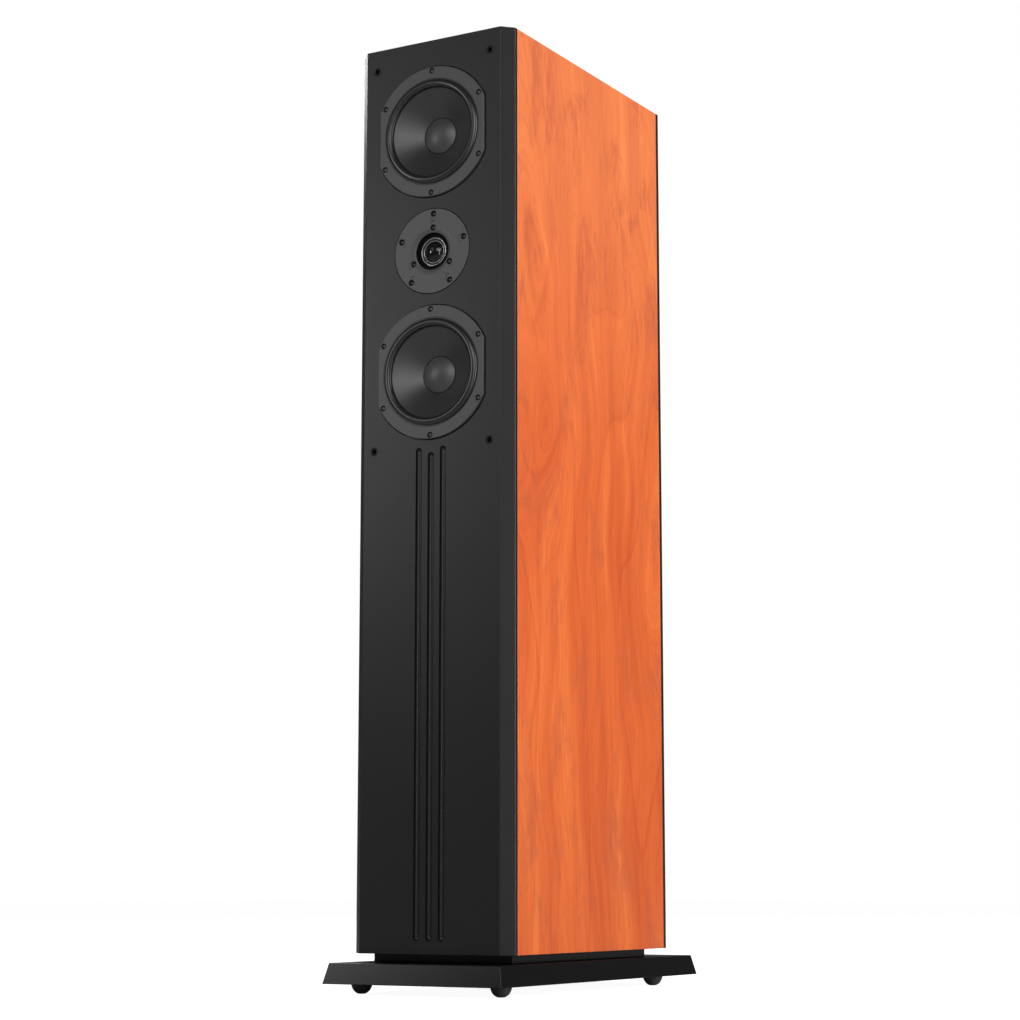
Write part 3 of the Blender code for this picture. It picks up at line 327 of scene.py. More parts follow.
def make_veneer():
    """Orange cherry veneer under satin lacquer. The grain runs round the folded sleeve."""
    material, tree, shader = new_material("veneer")
    sheet = add_node(tree, "UVMap", uv_map="sleeve").outputs[0]

    # The figure: the sheet is pushed sideways by slow waves, so that its streaks wander.
    parts = add_node(tree, "SeparateXYZ", {0: sheet}).outputs
    drift = noise(tree, stretched(tree, sheet, (3.2, 1.5, 1.0), (3.1, 0.4, 0.0)), 1.0, 2.0)
    lean = times(tree, parts["Y"], 0.05)
    swing = times(tree, maths(tree, "SUBTRACT", drift, 0.5), 0.42)
    across = plus(tree, parts["X"], plus(tree, lean, swing))
    figure = add_node(tree, "CombineXYZ", {0: across, 1: parts["Y"]}).outputs[0]

    # Growth rings: contours of a slow field, each fading to a thin dark line at its edge.
    field = noise(tree, stretched(tree, sheet, (3.4, 0.85, 1.0), (5.3, 1.9, 0.0)), 1.0, 1.5, 0.45)
    level = plus(tree, times(tree, field, 10.0), times(tree, across, 5.0))
    ring = ramp(tree, maths(tree, "FRACT", level),
                [(0.0, 0.60), (0.55, 0.51), (0.92, 0.46), (0.97, 0.22), (1.0, 0.58)])

    streaks = noise(tree, stretched(tree, figure, (15.0, 1.3, 1.0)), 1.0, 4.0, 0.55)
    lines = noise(tree, stretched(tree, figure, (75.0, 1.8, 1.0)), 1.0, 3.0, 0.6)
    clouds = noise(tree, stretched(tree, sheet, (15.0, 7.0, 1.0), (0.7, 2.0, 0.0)),
                   1.0, 4.0, 0.66, 0.6)
    dashes = noise(tree, stretched(tree, sheet, (150.0, 34.0, 1.0), (2.0, 0.3, 0.0)), 1.0, 3.0, 0.6)
    fibres = noise(tree, stretched(tree, figure, (520.0, 14.0, 1.0)), 1.0, 3.0, 0.65)
    flecks = noise(tree, stretched(tree, figure, (260.0, 42.0, 1.0)), 1.0, 1.0, 0.5)

    tone = plus(tree, times(tree, streaks, 0.58), times(tree, lines, 0.20))
    tone = plus(tree, tone, times(tree, ring, 0.22))
    wood = ramp(tree, tone, [(0.38, (0.56, 0.086, 0.020)), (0.47, (0.66, 0.116, 0.025)),
                             (0.54, (0.73, 0.143, 0.030)), (0.64, (0.84, 0.205, 0.047))])

    # Painted highlight: the wood is paler towards the fold at the top, on both sides.
    rising = span(tree, parts["Y"], 0.55, CABINET_TOP, 0.0, 1.0)
    falling = span(tree, parts["Y"], CABINET_TOP + 2 * HALF_WIDTH, 2.0, 1.0, 0.0)
    pale = times(tree, times(tree, rising, falling), 0.42)
    # The pale peach colour here is painted highlight.
    wood = blend_colour(tree, pale, wood, (0.86, 0.285, 0.110, 1))

    patches = plus(tree, times(tree, clouds, 0.74), times(tree, dashes, 0.26))
    patches = span(tree, patches, 0.49, 0.66, 0.0, 0.66)
    wood = blend_colour(tree, patches, wood, (0.51, 0.103, 0.044, 1))
    fine = span(tree, fibres, 0.30, 0.72, 0.90, 1.05)
    wood = add_node(tree, "VectorMath", {0: wood, "Scale": fine}, operation="SCALE").outputs[0]
    speck = span(tree, flecks, 0.68, 0.80, 0.0, 0.45)
    wood = blend_colour(tree, speck, wood, (0.38, 0.080, 0.040, 1))
    tree.links.new(wood, shader.inputs["Base Color"])
    tree.links.new(span(tree, fibres, 0.2, 0.8, 0.44, 0.54), shader.inputs["Roughness"])
    tree.links.new(bump(tree, fibres, 0.03 * MM, 0.6), shader.inputs["Normal"])
    shader.inputs["Coat Weight"].default_value = 0.10
    shader.inputs["Coat Roughness"].default_value = 0.30
    shader.inputs["Specular IOR Level"].default_value = 0.25
    return material


def make_board_edge():
    """Bare fibreboard of the braces and the underside."""
    material, tree, shader = new_material("bare_board")
    place = object_place(tree)
    fibres = noise(tree, place, 700.0, 4.0, 0.7)
    clumps = noise(tree, place, 60.0, 3.0)
    tone = plus(tree, times(tree, fibres, 0.6), times(tree, clumps, 0.4))
    tree.links.new(ramp(tree, tone, [(0.35, (0.27, 0.17, 0.09)), (0.65, (0.50, 0.36, 0.21))]),
                   shader.inputs["Base Color"])
    tree.links.new(bump(tree, fibres, 0.15 * MM), shader.inputs["Normal"])
    shader.inputs["Roughness"].default_value = 0.88
    return material


def make_winding():
    """Enamelled copper wire, laid side by side round the driver's axis or upright."""
    material, tree, shader = new_material("copper")
    parts = add_node(tree, "SeparateXYZ", {0: object_place(tree)}).outputs
    turns = maths(tree, "SINE", times(tree, plus(tree, parts["Y"], parts["Z"]), 9000.0))
    tint = noise(tree, object_place(tree), 80.0, 2.0)
    tree.links.new(ramp(tree, tint, [(0.3, (0.55, 0.20, 0.08)), (0.7, (0.80, 0.36, 0.17))]),
                   shader.inputs["Base Color"])
    tree.links.new(bump(tree, turns, 0.06 * MM), shader.inputs["Normal"])
    shader.inputs["Metallic"].default_value = 1.0
    shader.inputs["Roughness"].default_value = 0.32
    return material


def make_circuit_board():
    """Green solder mask with lighter tracks under it."""
    material, tree, shader = new_material("circuit_board")
    place = object_place(tree)
    cells = add_node(tree, "TexBrick", {"Vector": place, "Scale": 60.0, "Mortar Size": 0.05,
                                        "Color1": (0.02, 0.11, 0.035, 1),
                                        "Color2": (0.03, 0.15, 0.05, 1),
                                        "Mortar": (0.06, 0.26, 0.09, 1)})
    tree.links.new(cells.outputs["Color"], shader.inputs["Base Color"])
    tree.links.new(bump(tree, cells.outputs["Fac"], 0.05 * MM), shader.inputs["Normal"])
    shader.inputs["Roughness"].default_value = 0.35
    return material


FINISHES = {
    "black_paint": grained("black_paint", (0.0060, 0.0060, 0.0063), 0.38, 1700.0, 0.04, 0.01 * MM),
    "veneer": make_veneer(),
    "bare_board": make_board_edge(),
    "gloss_base": grained("gloss_base", (0.0045, 0.0045, 0.0047), 0.26, 900.0, 0.04, 0.01 * MM,
                          specular=0.26),
    "rubber": grained("rubber", (0.011, 0.011, 0.011), 0.29, 2600.0, 0.05, 0.01 * MM, specular=0.7),
    "basket": grained("basket", (0.100, 0.100, 0.101), 0.46, 2600.0, 0.06, 0.03 * MM, 0.5),
    "cone": grained("cone", (0.030, 0.030, 0.030), 0.40, 1500.0, 0.05, 0.02 * MM, specular=0.8),
    "spider_cloth": woven("spider_cloth", (0.52, 0.34, 0.12), 0.90),
    "copper": make_winding(),
    "zinc_steel": grained("zinc_steel", (0.60, 0.60, 0.62), 0.34, 1200.0, 0.12, metallic=1.0),
    "ferrite": grained("ferrite", (0.045, 0.045, 0.048), 0.62, 1400.0, 0.2, 0.08 * MM),
    "faceplate": grained("faceplate", (0.115, 0.115, 0.116), 0.48, 2600.0, 0.05, 0.03 * MM, 0.5),
    "bright_trim": turned_metal("bright_trim", (0.62, 0.62, 0.62), 0.30, (0.0, TWEETER_HEIGHT),
                                spread=0.04),
    "dome_cloth": grained("dome_cloth", (0.006, 0.006, 0.006), 0.10, 3200.0, 0.02, 0.004 * MM),
    "black_plastic": grained("black_plastic", (0.018, 0.018, 0.018), 0.48, 1800.0, 0.08, 0.05 * MM),
    "gilt": turned_metal("gilt", (0.90, 0.64, 0.25), 0.20, POST_AXIS),
    "red_plastic": grained("red_plastic", (0.52, 0.014, 0.010), 0.34, 1500.0, 0.04),
    "circuit_board": make_circuit_board(),
    "capacitor_film": grained("capacitor_film", (0.55, 0.40, 0.07), 0.30, 300.0, 0.10),
    "cable_jacket": grained("cable_jacket", (0.30, 0.28, 0.25), 0.50, 900.0, 0.08),
    "wadding": woven("wadding", (0.78, 0.78, 0.76), 0.95, 700.0, 0.6 * MM),
}
SCREW_BLACK = grained("screw_black", (0.10, 0.10, 0.10), 0.34, 3000.0, 0.05, 0.01 * MM, 0.6)
# The dust cap is lighter than the cone: a paler paper, partly painted reflection of the cone's lit
# wall.
CAP_PAPER_AND_PAINTED_REFLECTION = grained("cap_paper_and_painted_reflection", (0.058, 0.058, 0.058), 0.42, 1500.0, 0.05, 0.02 * MM, specular=0.8)
# The feet's rubber is lighter than the surround's: painted light on feet that sit in shade under
# the plinth.
FOOT_RUBBER_PAINTED_LIGHT = grained("foot_rubber_painted_light", (0.060, 0.060, 0.060), 0.62, 2200.0, 0.08, 0.03 * MM)
# Dull near-black: painted shade in the screw pockets and the tweeter's well, and the dark glue bead
# round the dust cap.
BLACK_AND_PAINTED_SHADE = grained("black_and_painted_shade", (0.004, 0.004, 0.004), 0.85, 3500.0, 0.2, 0.15 * MM, specular=0.15)


# ---------------------------------------------------------------- modelling helpers
def rounded(corners, steps=4):
    """A closed outline of (x, y, fillet) corners with each fillet drawn as an arc."""
    outline = []
    for index, (x, y, fillet) in enumerate(corners):
        here = Vector((x, y))
        if fillet <= 0.0:
            outline.append((x, y))
            continue
        before = (Vector(corners[index - 1][:2]) - here).normalized()
        after = (Vector(corners[(index + 1) % len(corners)][:2]) - here).normalized()
        half = before.angle(after) / 2
        centre = here + (before + after).normalized() * fillet / sin(half)
        start = here + before * fillet / tan(half) - centre
        end = here + after * fillet / tan(half) - centre
        first = atan2(start.y, start.x)
        swing = (atan2(end.y, end.x) - first + pi) % (2 * pi) - pi
        for step in range(steps + 1):
            angle = first + swing * step / steps
            outline.append((centre.x + fillet * cos(angle), centre.y + fillet * sin(angle)))
    return outline


def spin(bm, profile, facets, closed=True, centre=(0.0, 0.0), first=0.0, turn=2 * pi):
    """Turn (radius, height) points about an upright axis."""
    x, y = centre
    verts = [bm.verts.new((x + radius * cos(first), y + radius * sin(first), z))
             for radius, z in profile]
    edges = [bm.edges.new(pair) for pair in zip(verts, verts[1:])]
    if closed:
        edges.append(bm.edges.new((verts[-1], verts[0])))
    bmesh.ops.spin(bm, geom=verts + edges, cent=(x, y, 0), axis=(0, 0, 1), angle=turn,
                   steps=facets, use_merge=turn == 2 * pi, use_duplicate=False)
    bmesh.ops.remove_doubles(bm, verts=bm.verts, dist=1e-6)


def in_mm(*points):
    return [(x * MM, y * MM) for x, y in points]


def spun(profile, facets=96, closed=True):
    bm = bmesh.new()
    spin(bm, profile, facets, closed)
    return bm


def add_piece(name, bm, finish, body, stands_for=(), place=Matrix.Identity(4),
              crease=32, flat=False):
    """Put the mesh in its place as a finished piece that rides on a body. A flat one keeps
    its broad faces flat beside their eased edges."""
    bm.transform(place)
    bmesh.ops.recalc_face_normals(bm, faces=bm.faces)
    mesh = bpy.data.meshes.new(name)
    bm.to_mesh(mesh)
    bm.free()
    mesh.shade_smooth()
    mesh.set_sharp_from_angle(angle=radians(crease))
    piece = bpy.data.objects.new(name, mesh)
    bpy.context.scene.collection.objects.link(piece)
    mesh.materials.append(FINISHES[finish] if isinstance(finish, str) else finish)
    if flat:
        piece.modifiers.new("flat_faces", "WEIGHTED_NORMAL").keep_sharp = True
    if body:
        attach(piece, body)
    if stands_for:
        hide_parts(*stands_for)
    return piece


SORT_LINE = Vector((1, 0.6180, 0.2763))     # askew, so that no two points tie along it


def carved(bm, cutter):
    """One solid cut by another, as a new bmesh. Both given ones are used up.

    The cut leaves its points in any order, so they are put in a settled one.
    """
    pair = []
    for solid in (bm, cutter):
        bmesh.ops.recalc_face_normals(solid, faces=solid.faces)
        mesh = bpy.data.meshes.new("carving")
        solid.to_mesh(mesh)
        solid.free()
        pair.append(bpy.data.objects.new("carving", mesh))
        bpy.context.scene.collection.objects.link(pair[-1])
    modifier = pair[0].modifiers.new("carve", "BOOLEAN")
    modifier.operation = "DIFFERENCE"
    modifier.solver = "EXACT"
    modifier.object = pair[1]
    graph = bpy.context.evaluated_depsgraph_get()
    result = bmesh.new()
    result.from_object(pair[0], graph)
    for item in pair:
        mesh = item.data
        bpy.data.objects.remove(item)
        bpy.data.meshes.remove(mesh)
    bmesh.ops.remove_doubles(result, verts=result.verts, dist=1e-6)
    bmesh.ops.dissolve_degenerate(result, edges=result.edges, dist=1e-6)
    result.verts.sort(key=lambda vert: vert.co.dot(SORT_LINE))
    result.faces.sort(key=lambda face: face.calc_center_median().dot(SORT_LINE))
    return result


def copy_of(node):
    """A CAD node's mesh as clean faces, to be refined into a finished piece."""
    bm = bmesh.new()
    bm.from_mesh(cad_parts[node].data)
    bmesh.ops.remove_doubles(bm, verts=bm.verts, dist=1e-5)
    bmesh.ops.dissolve_limit(bm, angle_limit=radians(1), verts=bm.verts, edges=bm.edges)
    return bm


def ease_edges(bm, offset, segments=3, wanted=None, sharper=30):
    """Round the sharp outer edges that wanted() accepts."""
    edges = []
    for edge in bm.edges:
        if len(edge.link_faces) != 2 or edge.calc_face_angle(0) < radians(sharper):
            continue
        middle = (edge.verts[0].co + edge.verts[1].co) / 2
        if edge.calc_face_angle_signed(0) > 0 and (wanted is None or wanted(middle)):
            edges.append(edge)
    bmesh.ops.bevel(bm, geom=edges, offset=offset, offset_type="OFFSET", segments=segments,
                    affect="EDGES", profile=0.5, material=-1, clamp_overlap=True)


def dome_section(edge, rim, rise, wall):
    """The section of a shallow dome, given its edge's radius and height."""
    ball = (edge ** 2 + rise ** 2) / 2 / rise
    start = atan2(ball - rise, edge)
    middle = rim + rise - ball
    outside, inside = [], []
    for step in range(17):
        angle = start + (pi / 2 - start) * step / 16
        outside.append((ball * cos(angle), middle + ball * sin(angle)))
        inside.append(((ball - wall) * cos(angle), middle + (ball - wall) * sin(angle)))
    outside[-1] = (0, rim + rise)
    inside[-1] = (0, rim + rise - wall)
    return outside[::-1] + inside


def bead_section(radius, height, bead, facets):
    """The section of a round bead, given its middle."""
    return [(radius + bead * cos(2 * pi * k / facets), height + bead * sin(2 * pi * k / facets))
            for k in range(facets)]


def ring_places(count, radius, first=pi / 2):
    return [(radius * cos(first + 2 * pi * k / count), radius * sin(first + 2 * pi * k / count))
            for k in range(count)]


def flatten_sides(bm, rim, flat, facets, edge=1.5 * MM):
    """Cut a round rim straight on both sides, its rounded edge included."""
    step = 2 * pi / facets
    for vert in bm.verts:
        x, y = vert.co.x, vert.co.y
        radius = hypot(x, y)
        if radius < rim - edge:
            continue
        limit = flat - (rim - radius)
        corner = acos(limit / radius)
        nearest = round(corner / step) * step
        if abs(atan2(abs(y), abs(x)) - nearest) < step / 4:
            vert.co.y = copysign(radius * sin(corner), y)
            vert.co.x = copysign(limit, x)
        elif abs(x) > limit:
            vert.co.x = copysign(limit, x)


def add_screw(name, place, head, washer=0.0, height=1.3 * MM):
    """A button-head screw with a hexagon socket. Where it has a washer, a dull near-black ring lies
    under its head as painted shade in its pocket.
    Its place is the underside of its head."""
    key = head * 0.36
    profile = [(0.0, height - 0.7 * MM), (key, height - 0.7 * MM), (key, height - 0.05 * MM),
               (key + 0.1 * MM, height), (head * 0.58, height - 0.05 * MM),
               (head * 0.82, height - 0.3 * MM), (head, height - 0.8 * MM), (head, 0.0),
               (head * 0.55, 0.0), (head * 0.55, -2.0 * MM), (0.0, -2.0 * MM)]
    bm = spun(profile, 24, closed=False)
    for vert in bm.verts:
        x, y, z = vert.co
        radius = hypot(x, y)
        if 0.0 < radius < key + 0.02 * MM and z > 0.0:
            turn = (atan2(y, x) + pi / 6) % (pi / 3) - pi / 6
            vert.co.x *= cos(pi / 6) / cos(turn)
            vert.co.y *= cos(pi / 6) / cos(turn)
    add_piece(name, bm, SCREW_BLACK, "cabinet", place=place, crease=40)
    # The dull black ring under the head is painted shade in the screw's pocket.
    if washer:
        hole, thick = head * 0.6, 0.35 * MM
        ring = spun([(hole, 0.0), (washer, 0.0), (washer, thick), (hole, thick)], 32)
        add_piece(name + "_washer", ring, BLACK_AND_PAINTED_SHADE, "cabinet", place=place)


def add_screws(name, place, spots, seat, turn, head, washer=0.0, height=1.3 * MM):
    """A screw at each (x, y), with every socket turned another way."""
    for index, (x, y) in enumerate(spots):
        spot = place @ Matrix.Translation((x, y, seat)) @ Matrix.Rotation(index * turn, 4, "Z")
        add_screw(f"{name}_screw_{index + 1}", spot, head, washer, height)


# ---------------------------------------------------------------- cabinet
SOCKETS = {name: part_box("grille_socket_" + name) for name in
           ("upper_left", "upper_right", "lower_left", "lower_right")}
SOCKET_RIM = radius_of("grille_socket_upper_left")
GROOVE_NOSE = 4.25 * MM
GROOVE_DEPTH = 4.0 * MM
GROOVE_PITCH = 16.8 * MM
GROOVE_DROP = 6.4 * MM      # how much lower the middle one starts
CHAMFER = 13.0 * MM


def seat_cutter(rim, opening, floor, flat=None, facets=128):
    """A stepped round cutter with an eased mouth for a driver's seat."""
    ease = 0.5 * MM
    through = -BAFFLE_THICK - 10 * MM
    bm = spun([(0, through), (opening, through), (opening, floor), (rim, floor),
               (rim, -ease), (rim + ease, 0), (rim + ease, 10 * MM), (0, 10 * MM)],
              facets, closed=False)
    if flat:
        flatten_sides(bm, rim, flat, facets)
    return bm


def make_baffle():
    bm = bmesh.new()
    bmesh.ops.create_cube(bm, size=1.0)
    bmesh.ops.scale(bm, vec=baffle_high - baffle_low, verts=bm.verts)
    bmesh.ops.translate(bm, vec=(baffle_high + baffle_low) / 2, verts=bm.verts)
    middle = (baffle_low.y + baffle_high.y) / 2
    uprights = [edge for edge in bm.edges
                if abs((edge.verts[0].co - edge.verts[1].co).normalized().z) > 0.9
                and edge.verts[0].co.y < middle]
    bmesh.ops.bevel(bm, geom=uprights, offset=CHAMFER, offset_type="OFFSET", segments=1,
                    affect="EDGES", profile=0.5, material=-1)
    ease_edges(bm, 0.5 * MM, 2)

    cutter = bmesh.new()
    for place in (-1, 0, 1):
        top = WOOFERS["woofer_lower"] - WOOFER_RIM - 9.5 * MM - (0 if place else GROOVE_DROP)
        bottom = CABINET_BOTTOM + 15.1 * MM
        profile = []
        for step in range(9):
            angle = pi / 2 * step / 8
            profile.append((GROOVE_NOSE * sin(angle), bottom + GROOVE_NOSE * (1 - cos(angle))))
        profile += [(radius, top + bottom - z) for radius, z in reversed(profile)]
        spin(cutter, profile, 48, closed=False,
             centre=(place * GROOVE_PITCH, FRONT + GROOVE_DEPTH - GROOVE_NOSE))
    bm = carved(bm, cutter)

    for height in WOOFERS.values():
        cutter = seat_cutter(WOOFER_RIM + 1 * MM, WOOFER_RIM - 11 * MM,
                             FRONT - WOOFER_FACE - FLANGE_THICK - GAP, WOOFER_FLAT + 1 * MM)
        cutter.transform(Matrix.Translation((0, FRONT, height)) @ FORWARDS)
        bm = carved(bm, cutter)
    cutter = seat_cutter(TWEETER_RIM + 0.5 * MM, 42 * MM, -4.2 * MM)
    cutter.transform(Matrix.Translation((0, FRONT, TWEETER_HEIGHT)) @ FORWARDS)
    bm = carved(bm, cutter)
    cutter = bmesh.new()
    for low, high in SOCKETS.values():
        x, z = (low.x + high.x) / 2, (low.z + high.z) / 2
        bore, mouth = SOCKET_RIM + GAP, SOCKET_RIM + 0.7 * MM
        spin(cutter, [(0, -11.8 * MM), (bore, -11.8 * MM), (bore, -0.4 * MM), (mouth, 0),
                      (mouth, 5 * MM), (0, 5 * MM)], 32, closed=False, centre=(x, z))
    cutter.transform(Matrix.Translation((0, FRONT, 0)) @ FORWARDS)
    bm = carved(bm, cutter)
    add_piece("baffle", bm, "black_paint", "cabinet", ["front_baffle"], crease=28, flat=True)


def lay_sleeve_map(piece):
    """Unfold the sleeve: U runs from front to back, V up one side and over the top."""
    mesh = piece.data
    layer = mesh.uv_layers.new(name="sleeve")
    for face in mesh.polygons:
        for corner in face.loop_indices:
            x, y, z = mesh.vertices[mesh.loops[corner].vertex_index].co
            if piece.name == "top_veneer":
                layer.data[corner].uv = (y + CABINET_TOP - z, CABINET_TOP + HALF_WIDTH - x)
            elif x > 0:
                layer.data[corner].uv = (y + HALF_WIDTH - x, z)
            else:
                layer.data[corner].uv = (y + HALF_WIDTH + x, 2 * (CABINET_TOP + HALF_WIDTH) - z)


def make_sleeve():
    for name, node in (("right_veneer", "side_panel_right"), ("left_veneer", "side_panel_left"),
                       ("top_veneer", "top_panel")):
        bm = copy_of(node)
        ease_edges(bm, 0.5 * MM, 2)
        lay_sleeve_map(add_piece(name, bm, "veneer", "cabinet", [node], flat=True))
    bm = copy_of("bottom_panel")
    ease_edges(bm, 0.5 * MM, 2)
    add_piece("underside", bm, "bare_board", "cabinet", ["bottom_panel"], flat=True)


def make_rear_and_plinth():
    for name, node, finish, ease in (("rear_board", "rear_panel", "black_paint", 0.8 * MM),
                                     ("riser", "plinth_riser", "gloss_base", 0.5 * MM),
                                     ("plinth", "plinth_base", "gloss_base", 0.7 * MM)):
        bm = copy_of(node)
        ease_edges(bm, ease, 3)
        add_piece(name, bm, finish, "cabinet", [node], flat=True)


def make_feet():
    for side in ("front_left", "front_right", "rear_left", "rear_right"):
        low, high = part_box("foot_" + side)
        ball = (high.x - low.x) / 2
        middle = ((low.x + high.x) / 2, (low.y + high.y) / 2)
        flat = 4.0 * MM
        centre = sqrt(ball ** 2 - flat ** 2)
        start = atan2(-centre, flat)
        profile = [(0, 0)]
        for step in range(15):
            angle = start * (1 - step / 14)
            profile.append((ball * cos(angle), centre + ball * sin(angle)))
        profile += [(ball, centre + 0.15 * MM), (5 * MM, centre + 0.15 * MM), (5 * MM, high.z),
                    (0, high.z)]
        add_piece("rubber_foot_" + side, spun(profile, 64, closed=False), FOOT_RUBBER_PAINTED_LIGHT, "cabinet",
                  ["foot_" + side], Matrix.Translation((*middle, 0)))


def make_sockets():
    for side, (low, high) in SOCKETS.items():
        place = Matrix.Translation(((low.x + high.x) / 2, FRONT, (low.z + high.z) / 2)) @ FORWARDS
        bore = 3.3 * MM
        profile = rounded([(0, -11.5 * MM, 0), (SOCKET_RIM, -11.5 * MM, 0),
                           (SOCKET_RIM, 0.4 * MM, 0.4 * MM), (bore, 0.4 * MM, 0.5 * MM),
                           (bore, -10 * MM, 0), (0, -10 * MM, 0)], 3)
        add_piece("grille_cup_" + side, spun(profile, 48, closed=False), "black_plastic", "cabinet",
                  ["grille_socket_" + side], place)


# ---------------------------------------------------------------- woofers
def cone_height(radius):
    """Height of the cone's front face: steeper near the neck than at the edge."""
    share = (CONE_RIM - radius) / (CONE_RIM - CONE_NECK)
    rim = -1.4 * MM
    return rim - (CONE_DEPTH + rim) * (0.86 * share + 0.14 * share ** 2)


def make_basket(name, place):
    """Cast frame: flange with two straight sides, six legs and a shelf for the spider."""
    lip = -1.4 * MM
    inner = WOOFER_MOUTH - 3 * MM
    shelf = -SPIDER_DEPTH - 1.5 * MM
    seat = SPIDER_RIM + GAP
    opening = WOOFER_RIM - 11.5 * MM
    facets = 144
    corners = [
        (WOOFER_MOUTH, 0, 0.5 * MM), (WOOFER_RIM, 0, 0.6 * MM), (WOOFER_RIM, -FLANGE_THICK, 0),
        (opening, -FLANGE_THICK, 0), (seat + 3 * MM, shelf, 2 * MM), (seat, -BASKET_DEPTH, 1 * MM),
        (20.3 * MM, -BASKET_DEPTH, 0), (20.3 * MM, -BASKET_DEPTH + 3 * MM, 0),
        (seat - 4 * MM, -BASKET_DEPTH + 3 * MM, 1 * MM), (seat - 4 * MM, shelf, 0),
        (seat, shelf, 0), (inner, -8 * MM, 1 * MM), (inner, lip, 0), (WOOFER_MOUTH, lip, 0),
    ]
    bm = spun(rounded(corners), facets)
    flatten_sides(bm, WOOFER_RIM, WOOFER_FLAT, facets)

    windows = bmesh.new()
    top, bottom = -11 * MM, shelf + 2 * MM
    for index in range(WOOFER_SCREWS):
        middle = pi / 2 + pi / WOOFER_SCREWS + index * 2 * pi / WOOFER_SCREWS
        half = pi / WOOFER_SCREWS - 6.5 * MM / (seat - 10 * MM)
        blades = []
        for radius in (seat - 10 * MM, WOOFER_RIM):
            for angle in (middle - half, middle + half):
                blades.append((radius * cos(angle), radius * sin(angle)))
        outline = [blades[0], blades[1], blades[3], blades[2]]
        face = windows.faces.new([windows.verts.new((x, y, bottom)) for x, y in outline])
        made = bmesh.ops.extrude_face_region(windows, geom=[face])["geom"]
        bmesh.ops.translate(windows, vec=(0, 0, top - bottom),
                            verts=[item for item in made if isinstance(item, bmesh.types.BMVert)])
    bm = carved(bm, windows)

    pockets = bmesh.new()
    spots = ring_places(WOOFER_SCREWS, WOOFER_SCREW_CIRCLE)
    for centre in spots:
        spin(pockets, in_mm((0, -4), (1.7, -4), (1.7, -2.2), (3.5, -2.2), (3.5, -0.2), (3.7, 0),
                            (3.7, 2), (0, 2)), 32, closed=False, centre=centre)
    bm = carved(bm, pockets)
    add_piece(name + "_frame", bm, "basket", "cabinet", [name + "_basket"], place, crease=28,
              flat=True)
    add_screws(name, place, spots, -2.18 * MM, 1.3, 2.3 * MM, 3.4 * MM, 1.9 * MM)


def make_bending_ring(name, profile, finish, place, node, sectors=24,
                      steps=10):
    """A flexible ring in sectors that all meet at the same places. Each sector is its own piece,
    put on no body."""
    for index in range(sectors):
        wedge = 2 * pi / sectors
        bm = bmesh.new()
        spin(bm, profile, steps, first=index * wedge, turn=wedge)
        piece = add_piece(f"{name}_{index + 1:02d}", bm, finish, None, place=place)
        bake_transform(piece)
        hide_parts(node)


def make_surround(name, place):
    """Half-roll rubber surround. It lies on the frame's ledge and on the cone's edge."""
    thick = 0.8 * MM
    lip = -1.1 * MM
    crest = 3.3 * MM
    outer, inner = WOOFER_MOUTH - GAP, CONE_RIM - 2.2 * MM
    foot = outer - 0.9 * MM
    touch = cone_height(inner) + GAP
    steps = 18
    over, under = [], []
    for step in range(steps + 1):
        angle = pi * step / steps
        across = 0.5 - 0.5 * cos(angle)
        ground = touch + (lip + thick - touch) * across
        over.append((inner + (foot - inner) * across, ground + (crest - ground) * sin(angle)))
        under.append((CONE_RIM + GAP + (foot - CONE_RIM - GAP - thick) * across,
                      lip + (crest - thick - lip) * sin(angle)))
    profile = over + [(outer, lip + thick), (outer, lip)] + list(reversed(under))
    profile.append((inner + 0.3 * MM, touch))
    make_bending_ring(name + "_roll", profile, "rubber", place,
                      name + "_surround")


def make_spider(name, place):
    """Corrugated cloth disc that centres the voice coil."""
    near, far = 16.8 * MM, SPIDER_RIM
    waves = 48
    over = []
    for step in range(waves + 1):
        share = step / waves
        swell = 1.2 * MM * sin(2 * pi * 5.5 * share) * min(1.0, 8 * share, 8 * (1 - share))
        over.append((near + (far - near) * share, -SPIDER_DEPTH + swell))
    under = [(radius, z - 0.5 * MM) for radius, z in reversed(over)]
    make_bending_ring(name + "_spider_cloth", over + under, "spider_cloth",
                      place, name + "_spider",
                      sectors=12, steps=6)


def make_moving_parts(name, place):
    body = name + "_moving"
    rings = 20
    front = []
    for step in range(rings + 1):
        radius = CONE_RIM + (CONE_NECK - CONE_RIM) * step / rings
        front.append((radius, cone_height(radius)))
    back = [(radius, z - CONE_THICK) for radius, z in reversed(front)]
    add_piece(name + "_cone_paper", spun(front + back, 144), "cone", body, [name + "_cone"], place)

    profile = dome_section(CAP_RIM, cone_height(CAP_RIM) + 0.7 * MM, 6.4 * MM, 0.8 * MM)
    add_piece(name + "_cap", spun(profile, 96, closed=False), CAP_PAPER_AND_PAINTED_REFLECTION, body,
              [name + "_dust_cap"], place)

    # A thin bead of glue where the cap meets the cone.
    seam = CAP_RIM + 0.4 * MM
    bead = bead_section(seam, cone_height(seam), 0.55 * MM, 8)
    add_piece(name + "_cap_glue", spun(bead, 96), BLACK_AND_PAINTED_SHADE, body, place=place)


def make_woofers():
    for name, height in WOOFERS.items():
        place = Matrix.Translation((0, WOOFER_FACE, height)) @ FORWARDS
        make_basket(name, place)
        make_surround(name, place)
        make_spider(name, place)
        make_moving_parts(name, place)


# ---------------------------------------------------------------- tweeter
WELL_RIM = 22.9 * MM
DISH = 1.6 * MM
WELL_FLOOR = -5.6 * MM
MOTOR_FACE = WELL_FLOOR - 2.3 * MM
TRIM_EDGE = 17.3 * MM       # the bright lip, inside the ring's shoulder


